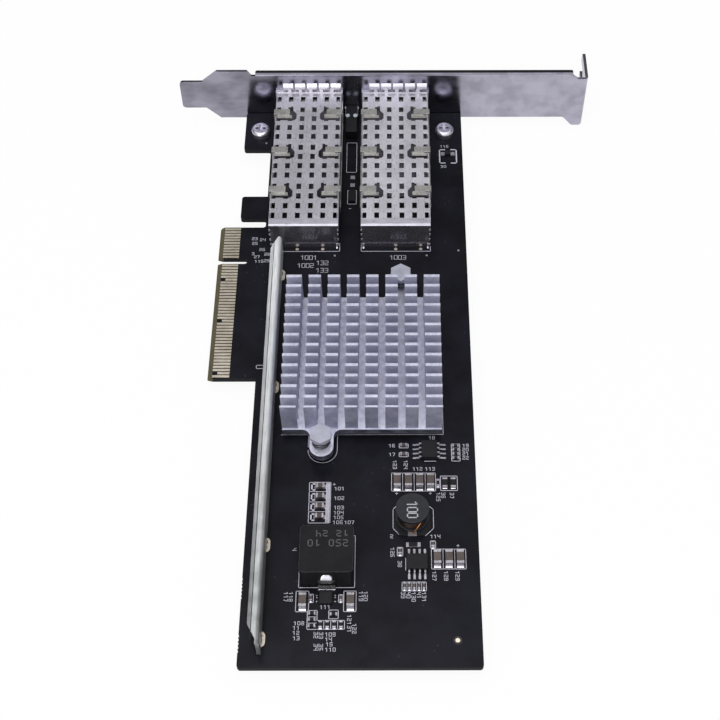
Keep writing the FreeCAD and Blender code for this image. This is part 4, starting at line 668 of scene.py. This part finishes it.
partMarks = {  # size: how tall, how wide and how far apart
    "drum": {"text": "100", "start": (51.75, -78.75), "along": (0, -1), "size": (2.4, 1.15, 1.55),
             "width": 0.3, "node": "drum_inductor_core", "finish": "stampedInk"},
    "power": {"text": "12 24", "start": (37.6, -87.5), "along": (-1, 0), "size": (1.4, 0.9, 1.6),
              "width": 0.24, "node": "power_inductor_body", "finish": "laserMarking"},
    "current": {"text": "250 10", "start": (37.6, -89.9), "along": (-1, 0), "size": (1.6, 0.95, 1.65),
                "width": 0.24, "node": "power_inductor_body", "finish": "laserMarking"},
}
for name, mark in partMarks.items():
    lines = numberLines(mark["text"], mark["start"], mark["along"], *mark["size"])
    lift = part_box(mark["node"])[1][2] / mm + numbers["lift"]
    addPiece(name + "_number", strokeMesh(name + "_number", lines, mark["width"], lift), mark["finish"])
print("numbers:", len(numberStrokes), "strokes")


def looseBoxes(name):
    # low and high corner, in mm, of each separate solid in a CAD node
    form = bmesh.new()
    form.from_mesh(frame["nodes"][name].data)
    bmesh.ops.remove_doubles(form, verts=form.verts, dist=0.001 * mm)
    waiting = dict.fromkeys(form.verts)
    boxes = []
    while waiting:
        found = [next(iter(waiting))]
        del waiting[found[0]]
        for vertex in found:
            for edge in vertex.link_edges:
                other = edge.other_vert(vertex)
                if other in waiting:
                    del waiting[other]
                    found.append(other)
        spots = [vertex.co / mm for vertex in found]
        boxes.append([Vector([pick(spot[i] for spot in spots) for i in range(3)]) for pick in (min, max)])
    form.free()
    return boxes


def joinRings(form, rings, closed=False):
    # walls from each ring of vertices to the next, and an end face on the first and the last
    count = len(rings[0])
    if not closed:
        form.faces.new(rings[0])
        form.faces.new(rings[-1][::-1])
    following = rings[1:] + rings[:1] if closed else rings[1:]
    for first, second in zip(rings, following):
        for i in range(count):
            form.faces.new((first[i], second[i], second[(i + 1) % count], first[(i + 1) % count]))


def addPrism(form, outline, start, end, axis):
    # a closed solid: an outline in the other two axes, drawn out along this one
    rings = []
    for place in (start, end):
        ring = []
        for u, v in outline:
            spot = [u, v]
            spot.insert(axis, place)
            ring.append(form.verts.new([value * mm for value in spot]))
        rings.append(ring)
    joinRings(form, rings)


def solidMesh(name, form, smooth=False):
    bmesh.ops.recalc_face_normals(form, faces=form.faces)
    return closeMesh(name, form, smooth)


def padOutline(low, high, cut):
    # a rectangle with its corners cut off
    (x0, y0), (x1, y1) = low, high
    return [(x0 + cut, y0), (x1 - cut, y0), (x1, y0 + cut), (x1, y1 - cut), (x1 - cut, y1), (x0 + cut, y1),
            (x0, y1 - cut), (x0, y0 + cut)]


fillet = {
    "kinds": ("ceramic_capacitor", "small_capacitor", "chip_resistor", "diode"),
    "reach": 0.34, "rise": 0.7,  # shares of the part's height
    "least": 0.06, "overlap": 0.02, "skin": 0.015, "inset": 0.05,  # in mm
    "footReach": 0.3, "footRise": 1.6,  # in mm, at the front terminal of the power inductor
    "steps": 6,
}


def filletOutline(face, way, reach, rise):
    # the hollow curve of solder that climbs from the board to the end of a part
    inner = face - fillet["overlap"] * way
    curve = []
    for step in range(fillet["steps"] + 1):
        turn = math.pi / 2 * step / fillet["steps"]
        curve.append((face + way * reach * (1 - math.sin(turn)),
                      fillet["skin"] + rise * (1 - math.cos(turn))))
    return [(inner, 0.0)] + curve + [(inner, fillet["skin"] + rise)]


filletForm = bmesh.new()
filletCount = 0
for kind in fillet["kinds"]:
    bodies = looseBoxes("diode_body" if kind == "diode" else kind + "_bodies")
    for low, high in looseBoxes(kind + "_terminals"):
        centre = (low + high) / 2
        nearest = min(bodies, key=lambda box: ((box[0] + box[1]) / 2 - centre).length)
        away = centre - (nearest[0] + nearest[1]) / 2
        axis = 0 if abs(away.x) > abs(away.y) else 1  # the solder runs out from the end of the part
        way = 1 if away[axis] > 0 else -1
        face = high[axis] if way > 0 else low[axis]
        reach = fillet["reach"] * high.z + fillet["least"]
        outline = filletOutline(face, way, reach, fillet["rise"] * high.z)
        sideways = 1 - axis
        addPrism(filletForm, outline, low[sideways] + fillet["inset"], high[sideways] - fillet["inset"],
                 sideways)
        filletCount += 1
terminalLow, terminalHigh = min(looseBoxes("power_inductor_terminals"), key=lambda box: box[0].y)
addPrism(filletForm, filletOutline(terminalLow.y, -1, fillet["footReach"], fillet["footRise"]),
         terminalLow.x, terminalHigh.x, 0)
addPiece("solder_fillets", solidMesh("solder_fillets", filletForm), "reflowedSolder")
print("solder fillets:", filletCount + 1)

pads = {
    "high": 0.06, "cut": 0.1,
    # leads along x, then along y: where their pads start and end, and how far those pass the lead's sides
    "leads": [{"ends": ((53.25, 54.15), (60.65, 61.6)), "past": 0.02},
              {"ends": ((-96.5, -95.2), (-89.6, -88.55)), "past": 0.08}],
    "regulator": {"ends": ((30.2, 30.55), (34.5, 34.9)), "rows": (-100.6, -101.15, -102.15), "half": 0.15},
    "testPoints": {"middles": ((66.64, 3.64), (11.14, 44.66), (32.28, 1.89), (57.82, 1.91)),
                   "half": 0.28},
}
padBoxes = []
for low, high in looseBoxes("small_outline_leads"):
    axis = 0 if high.x - low.x > high.y - low.y else 1
    lead = pads["leads"][axis]
    start, end = min(lead["ends"], key=lambda ends: abs(sum(ends) - low[axis] - high[axis]))
    sides = (low[1 - axis] - lead["past"], high[1 - axis] + lead["past"])
    padBoxes.append((start, sides[0], end, sides[1]) if axis == 0 else (sides[0], start, sides[1], end))
half = pads["regulator"]["half"]
for y in pads["regulator"]["rows"]:
    padBoxes += [(start, y - half, end, y + half) for start, end in pads["regulator"]["ends"]]
half = pads["testPoints"]["half"]
padBoxes += [(x - half, y - half, x + half, y + half) for x, y in pads["testPoints"]["middles"]]
padForm = bmesh.new()
for x0, y0, x1, y1 in padBoxes:
    addPrism(padForm, padOutline((x0, y0), (x1, y1), pads["cut"]), 0.0, pads["high"], 2)
addPiece("solder_pads", solidMesh("solder_pads", padForm), "tinnedTerminal")
print("solder pads:", len(padBoxes))

# solder heaped over the front terminal of the power inductor, in rings: level, half width and front in mm
dome = {"middle": 32.7, "back": -98.1, "corner": 0.3, "cut": 0.3, "least": 0.02, "rings": [
    (2.9, 1.45, -98.95), (4.65, 1.45, -99.05), (4.8, 1.42, -99.0), (5.1, 1.32, -98.82), (5.5, 1.08, -98.52),
    (5.75, 0.8, -98.34), (5.9, 0.5, -98.25)]}
domeForm = bmesh.new()
domeRings = []
for level, half, front in dome["rings"]:
    corner = min(dome["corner"], dome["back"] - front - dome["least"])
    bend = dome["cut"] * corner
    leftSide = [(-half, dome["back"]), (-half, front + corner), (-half + bend, front + bend),
                (-half + corner, front)]
    outline = leftSide + [(-x, y) for x, y in leftSide[::-1]]
    domeRings.append([domeForm.verts.new(((dome["middle"] + x) * mm, y * mm, level * mm))
                      for x, y in outline])
joinRings(domeForm, domeRings)
addPiece("terminal_solder_dome", solidMesh("terminal_solder_dome", domeForm), "reflowedSolder")


def addTube(form, spots, radius, sides, closed=False):
    # sweeps a round wire through the points given in mm
    rings = []
    count = len(spots)
    for i, spot in enumerate(spots):
        before = spots[(i - 1) % count] if closed or i else spot
        after = spots[(i + 1) % count] if closed or i < count - 1 else spot
        along = (after - before).normalized()
        side = along.cross(Vector((0, 0, 1))).normalized()
        up = side.cross(along)
        rings.append([form.verts.new((spot + side * radius * math.cos(a) + up * radius * math.sin(a)) * mm)
                      for a in [2 * math.pi * k / sides for k in range(sides)]])
    joinRings(form, rings, closed)


# turns of wire between the flanges of the drum, round a plain core; each turn sways a little
winding = {"wire": 0.22, "turns": 7, "around": 40, "sides": 8, "sway": 0.0875, "inset": 0.05, "cover": 0.15,
           "overlap": 0.02}
windingLow, windingHigh = [Vector(corner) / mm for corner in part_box("drum_inductor_winding")]
drumMiddle = (windingLow + windingHigh) / 2
windingRadius = (windingHigh.x - windingLow.x) / 2 - winding["inset"]
coreRadius = windingRadius - winding["cover"]
angles = [2 * math.pi * k / winding["around"] for k in range(winding["around"])]
windingForm = bmesh.new()
core = [(drumMiddle.x + coreRadius * math.cos(a), drumMiddle.y + coreRadius * math.sin(a)) for a in angles]
addPrism(windingForm, core, windingLow.z - winding["overlap"], windingHigh.z + winding["overlap"], 2)
for turn in range(winding["turns"]):
    level = windingLow.z + (windingHigh.z - windingLow.z) * (turn + 0.5) / winding["turns"]
    spots = [Vector((drumMiddle.x + windingRadius * math.cos(a), drumMiddle.y + windingRadius * math.sin(a),
                     level + winding["sway"] * math.sin(a + turn))) for a in angles]
    addTube(windingForm, spots, winding["wire"], winding["sides"], closed=True)
turns = addPiece("drum_winding_turns", solidMesh("drum_winding_turns", windingForm, True),
                 "enamelledCopperWire")
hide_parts("drum_inductor_winding")

# the wire's end, from the last turn down to the front terminal
leadWire = {"wire": 0.17, "sides": 8, "spots": [
    (54.9, -83.2, 3.3), (54.5, -83.75, 2.7), (53.9, -84.2, 1.9), (53.4, -84.5, 1.2), (53.0, -84.75, 0.7)]}
leadForm = bmesh.new()
addTube(leadForm, [Vector(spot) for spot in leadWire["spots"]], leadWire["wire"], leadWire["sides"])
addPiece("drum_lead_wire", solidMesh("drum_lead_wire", leadForm, True), "bareCopperWire")

drumBase = {"low": 0.03, "high": 0.42, "outline": [
    (48.75, -77.9), (50.2, -76.3), (55.7, -76.3), (57.15, -77.9), (57.35, -82.9), (55.9, -85.1),
    (50.0, -85.1), (48.55, -82.9)]}
baseForm = bmesh.new()
addPrism(baseForm, drumBase["outline"], drumBase["low"], drumBase["high"], 2)
addPiece("drum_base", solidMesh("drum_base", baseForm), "blackConnectorPlastic")

# a small part with four raised elements in front of the drum
link = {
    "body": ((52.05, -87.95), (54.15, -86.85)), "cut": 0.08, "low": 0.03, "high": 0.3,
    "elements": (52.5, 52.9, 53.3, 53.7), "half": 0.08, "front": -87.85, "back": -86.95,
    "elementCut": 0.02, "elementLow": 0.29, "elementHigh": 0.33,
}
linkForm = bmesh.new()
addPrism(linkForm, padOutline(*link["body"], link["cut"]), link["low"], link["high"], 2)
for x in link["elements"]:
    outline = padOutline((x - link["half"], link["front"]), (x + link["half"], link["back"]),
                         link["elementCut"])
    addPrism(linkForm, outline, link["elementLow"], link["elementHigh"], 2)
addPiece("link_body", solidMesh("link_body", linkForm), "blackConnectorPlastic")
print("drum inductor dressed")

# the ring cleared of ink round the alignment mark
clearRing = {"inner": 0.56, "outer": 1.02, "lift": 0.01, "around": 32}
markLow, markHigh = max(looseBoxes("gold_lands"), key=lambda box: box[0].x)
markMiddle = (markLow + markHigh) / 2
ringForm = bmesh.new()
for k in range(clearRing["around"]):
    first, second = [2 * math.pi * (k + step) / clearRing["around"] for step in (0, 1)]
    corners = [(clearRing["inner"], first), (clearRing["outer"], first), (clearRing["outer"], second),
               (clearRing["inner"], second)]
    ringForm.faces.new([ringForm.verts.new(((markMiddle.x + r * math.cos(a)) * mm,
                                            (markMiddle.y + r * math.sin(a)) * mm, clearRing["lift"] * mm))
                        for r, a in corners])
bmesh.ops.remove_doubles(ringForm, verts=ringForm.verts, dist=0.001 * mm)
addPiece("fiducial_ring", solidMesh("fiducial_ring", ringForm), "bareLaminate")

cageTrim = {
    # the folded rear lip: y and z, and how far it stays inside the cage's sides
    "lip": [(7.55, 9.07), (7.4, 9.19), (5.6, 9.15), (5.4, 9.08), (5.2, 9.12), (4.96, 9.0), (4.96, 8.9),
            (5.2, 9.02), (5.4, 8.98), (5.6, 9.05), (7.38, 9.07)],
    "lipInset": 0.08,
    # seam tabs up both rear corners: low and high, reach past the side and onto the wall, and depth
    "tabs": [(0.9, 1.7), (3.0, 3.8), (5.1, 5.9), (7.0, 7.8)],
    "tabPast": 0.02, "tabWide": 0.42, "tabDeep": 0.14, "tabCut": 0.08, "overlap": 0.02,
    # solder tails at the foot: from the side, and y from the wall with z
    "tailStart": 0.45, "tailEnd": 0.85,
    "tail": [(0.02, 1.6), (-0.1, 1.5), (-0.2, 0.4), (-0.6, 0.12), (-0.6, 0.0), (0.02, 0.0)],
    # grounding fingers behind the first row of holes: y and z, pitch and width
    "finger": [(58.9, 8.55), (57.6, 8.5), (55.0, 7.4), (52.2, 5.9), (52.2, 5.78), (55.0, 7.28), (57.6, 8.38),
               (58.9, 8.43)],
    "columns": 6, "pitch": 3.48, "wide": 3.2, "fingerInset": 0.35,
}
lipForm, tabForm, fingerForm = bmesh.new(), bmesh.new(), bmesh.new()
for side in ("left", "right"):
    low, high = [Vector(corner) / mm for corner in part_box("cage_" + side)]
    addPrism(lipForm, cageTrim["lip"], low.x + cageTrim["lipInset"], high.x - cageTrim["lipInset"], 0)
    for x0, x1 in ((low.x - cageTrim["tabPast"], low.x + cageTrim["tabWide"]),
                   (high.x - cageTrim["tabWide"], high.x + cageTrim["tabPast"])):
        for z0, z1 in cageTrim["tabs"]:
            addPrism(tabForm, padOutline((x0, z0), (x1, z1), cageTrim["tabCut"]), low.y - cageTrim["tabDeep"],
                     low.y + cageTrim["overlap"], 1)
    tail = [(low.y + y, z) for y, z in cageTrim["tail"]]
    for x0, x1 in ((low.x + cageTrim["tailStart"], low.x + cageTrim["tailEnd"]),
                   (high.x - cageTrim["tailEnd"], high.x - cageTrim["tailStart"])):
        addPrism(tabForm, tail, x0, x1, 0)
    cageMiddle = (low.x + high.x) / 2
    for column in range(cageTrim["columns"]):
        x = cageMiddle + (column - (cageTrim["columns"] - 1) / 2) * cageTrim["pitch"]
        x0 = max(x - cageTrim["wide"] / 2, low.x + cageTrim["fingerInset"])
        x1 = min(x + cageTrim["wide"] / 2, high.x - cageTrim["fingerInset"])
        addPrism(fingerForm, cageTrim["finger"], x0, x1, 0)
addPiece("cage_rear_lips", solidMesh("cage_rear_lips", lipForm), "burnishedTinFold")
addPiece("cage_rear_tabs", solidMesh("cage_rear_tabs", tabForm), "burnishedTinFold")
addPiece("port_grounding_fingers", solidMesh("port_grounding_fingers", fingerForm), "shadedBronzeStrip")
print("cages trimmed")

# painted shade: a dark strip on the floor of the groove along the stiffener bar
groove = {"middle": 16.05, "wide": 0.15, "level": 6.975, "front": -114.6, "back": 0.6}
grooveLine = [[(groove["middle"], groove["front"]), (groove["middle"], groove["back"])]]
addPiece("bar_groove_shadow", strokeMesh("bar_groove_shadow", grooveLine, groove["wide"], groove["level"]),
         "blackConnectorPlastic")

# size and middle are in metres, and the gap under the object in mm
stage = {"size": 4.0, "gap": 0.2, "middle": 0.03, "colour": "#f4f4f4", "white": 0.93}


def floorMaterial():
    # painted studio board: white to the eye and to mirrors, and it keeps the shadow
    material = bpy.data.materials.new("paleFloor")
    material.use_nodes = True
    tree = material.node_tree
    tree.nodes.clear()
    path = tree.nodes.new("ShaderNodeLightPath")
    seen = addNode(tree, "ShaderNodeMath", {"operation": "MAXIMUM"}, i0=path.outputs["Is Camera Ray"],
                   i1=path.outputs["Is Glossy Ray"])
    through = addNode(tree, "ShaderNodeMath", {"operation": "MAXIMUM"}, i0=seen.outputs[0],
                      i1=path.outputs["Is Transmission Ray"])
    share = addNode(tree, "ShaderNodeMath", {"operation": "MULTIPLY"}, i0=through.outputs[0],
                    i1=stage["white"])
    matt = addNode(tree, "ShaderNodeBsdfDiffuse", Color=linear(stage["colour"]))
    glow = addNode(tree, "ShaderNodeEmission", Color=(1, 1, 1, 1), Strength=1.0)
    mixed = addNode(tree, "ShaderNodeMixShader", i0=share.outputs[0], i1=matt.outputs[0], i2=glow.outputs[0])
    output = tree.nodes.new("ShaderNodeOutputMaterial")
    tree.links.new(mixed.outputs[0], output.inputs[0])
    return material


floorForm = bmesh.new()
bmesh.ops.create_grid(floorForm, x_segments=1, y_segments=1, size=stage["size"])
floorMesh = closeMesh("floor", floorForm)
floor = bpy.data.objects.new("floor", floorMesh)
floor.location = (stage["middle"], 0.0, cadBounds[0][2] - stage["gap"] * mm)
bpy.context.scene.collection.objects.link(floor)
floorMesh.materials.append(floorMaterial())

studio = {
    "ambient": 0.5, "mirrorTint": (0.96, 0.96, 1.0, 1),
    # what mirrors see, and the heights between which it changes: 0 is the horizon and 1 overhead
    "horizon": 0.8, "backdrop": 0.16, "horizonSpan": (0.04, 0.3),
    "softbox": 1.25, "softboxSpan": (0.3, 0.85), "softboxLean": -0.45,
    "target": (0.04, -0.03, 0.0),
    "lamps": {  # place in metres, size, power in watts
        "overhead": ((0.03, -0.12, 0.9), 0.7, 4.0),
        "front": ((-0.3, -0.8, 0.5), 0.6, 3.0),
    },
}


def studioWorld():
    # white behind the object; mirrors see a bright horizon, a dark backdrop and a softbox above it
    world = bpy.data.worlds.new("studio")
    world.use_nodes = True
    tree = world.node_tree
    tree.nodes.clear()
    path = tree.nodes.new("ShaderNodeLightPath")
    direction = tree.nodes.new("ShaderNodeTexCoord").outputs["Generated"]
    axes = addNode(tree, "ShaderNodeSeparateXYZ", Vector=direction)
    horizonStart, horizonEnd = studio["horizonSpan"]
    low = addNode(tree, "ShaderNodeMapRange", {"interpolation_type": "SMOOTHSTEP"}, Value=axes.outputs[2],
                  From_Min=horizonStart, From_Max=horizonEnd, To_Min=studio["horizon"],
                  To_Max=studio["backdrop"])
    # the softbox leans towards the front edge of the object, where y falls below nought
    lean = addNode(tree, "ShaderNodeMath", {"operation": "MULTIPLY_ADD"}, i0=axes.outputs[1],
                   i1=studio["softboxLean"], i2=axes.outputs[2])
    softboxStart, softboxEnd = studio["softboxSpan"]
    high = addNode(tree, "ShaderNodeMapRange", {"interpolation_type": "SMOOTHSTEP"}, Value=lean.outputs[0],
                   From_Min=softboxStart, From_Max=softboxEnd, To_Min=0.0, To_Max=studio["softbox"])
    mirror = addNode(tree, "ShaderNodeMath", {"operation": "ADD"}, i0=low.outputs[0], i1=high.outputs[0])
    clear = addNode(tree, "ShaderNodeMath", {"operation": "MAXIMUM"}, i0=path.outputs["Is Camera Ray"],
                    i1=path.outputs["Is Transmission Ray"])
    lit = addNode(tree, "ShaderNodeBackground", Color=(1, 1, 1, 1), Strength=studio["ambient"])
    mirrored = addNode(tree, "ShaderNodeBackground", Color=studio["mirrorTint"], Strength=mirror.outputs[0])
    white = addNode(tree, "ShaderNodeBackground", Color=(1, 1, 1, 1), Strength=1.0)
    first = addNode(tree, "ShaderNodeMixShader", i0=path.outputs["Is Glossy Ray"], i1=lit.outputs[0],
                    i2=mirrored.outputs[0])
    second = addNode(tree, "ShaderNodeMixShader", i0=clear.outputs[0], i1=first.outputs[0],
                     i2=white.outputs[0])
    output = tree.nodes.new("ShaderNodeOutputWorld")
    tree.links.new(second.outputs[0], output.inputs[0])
    bpy.context.scene.world = world


studioWorld()
for name, (spot, size, power) in studio["lamps"].items():
    lamp = bpy.data.lights.new(name, "AREA")
    lamp.size = size
    lamp.energy = power
    holder = bpy.data.objects.new(name, lamp)
    holder.location = spot
    holder.rotation_euler = (Vector(studio["target"]) - Vector(spot)).to_track_quat("-Z", "Y").to_euler()
    bpy.context.scene.collection.objects.link(holder)

# place in metres, angles in degrees, lens and sensor in mm
view = {"place": (0.0482, -0.2369, 0.2931), "tilt": 34.77, "turn": -0.15, "lens": 67.9, "sensor": 36.0,
        "shift": -0.0477, "near": 0.01}
lensData = bpy.data.cameras.new("mainCamera")
lensData.lens = view["lens"]
lensData.sensor_width = view["sensor"]
lensData.shift_x = view["shift"]
lensData.clip_start = view["near"]
mainCamera = bpy.data.objects.new("mainCamera", lensData)
mainCamera.location = view["place"]
mainCamera.rotation_euler = (math.radians(view["tilt"]), 0.0, math.radians(view["turn"]))
bpy.context.scene.collection.objects.link(mainCamera)
bpy.context.scene.camera = mainCamera
bpy.context.scene.view_settings.view_transform = "Standard"

print("scene ready")
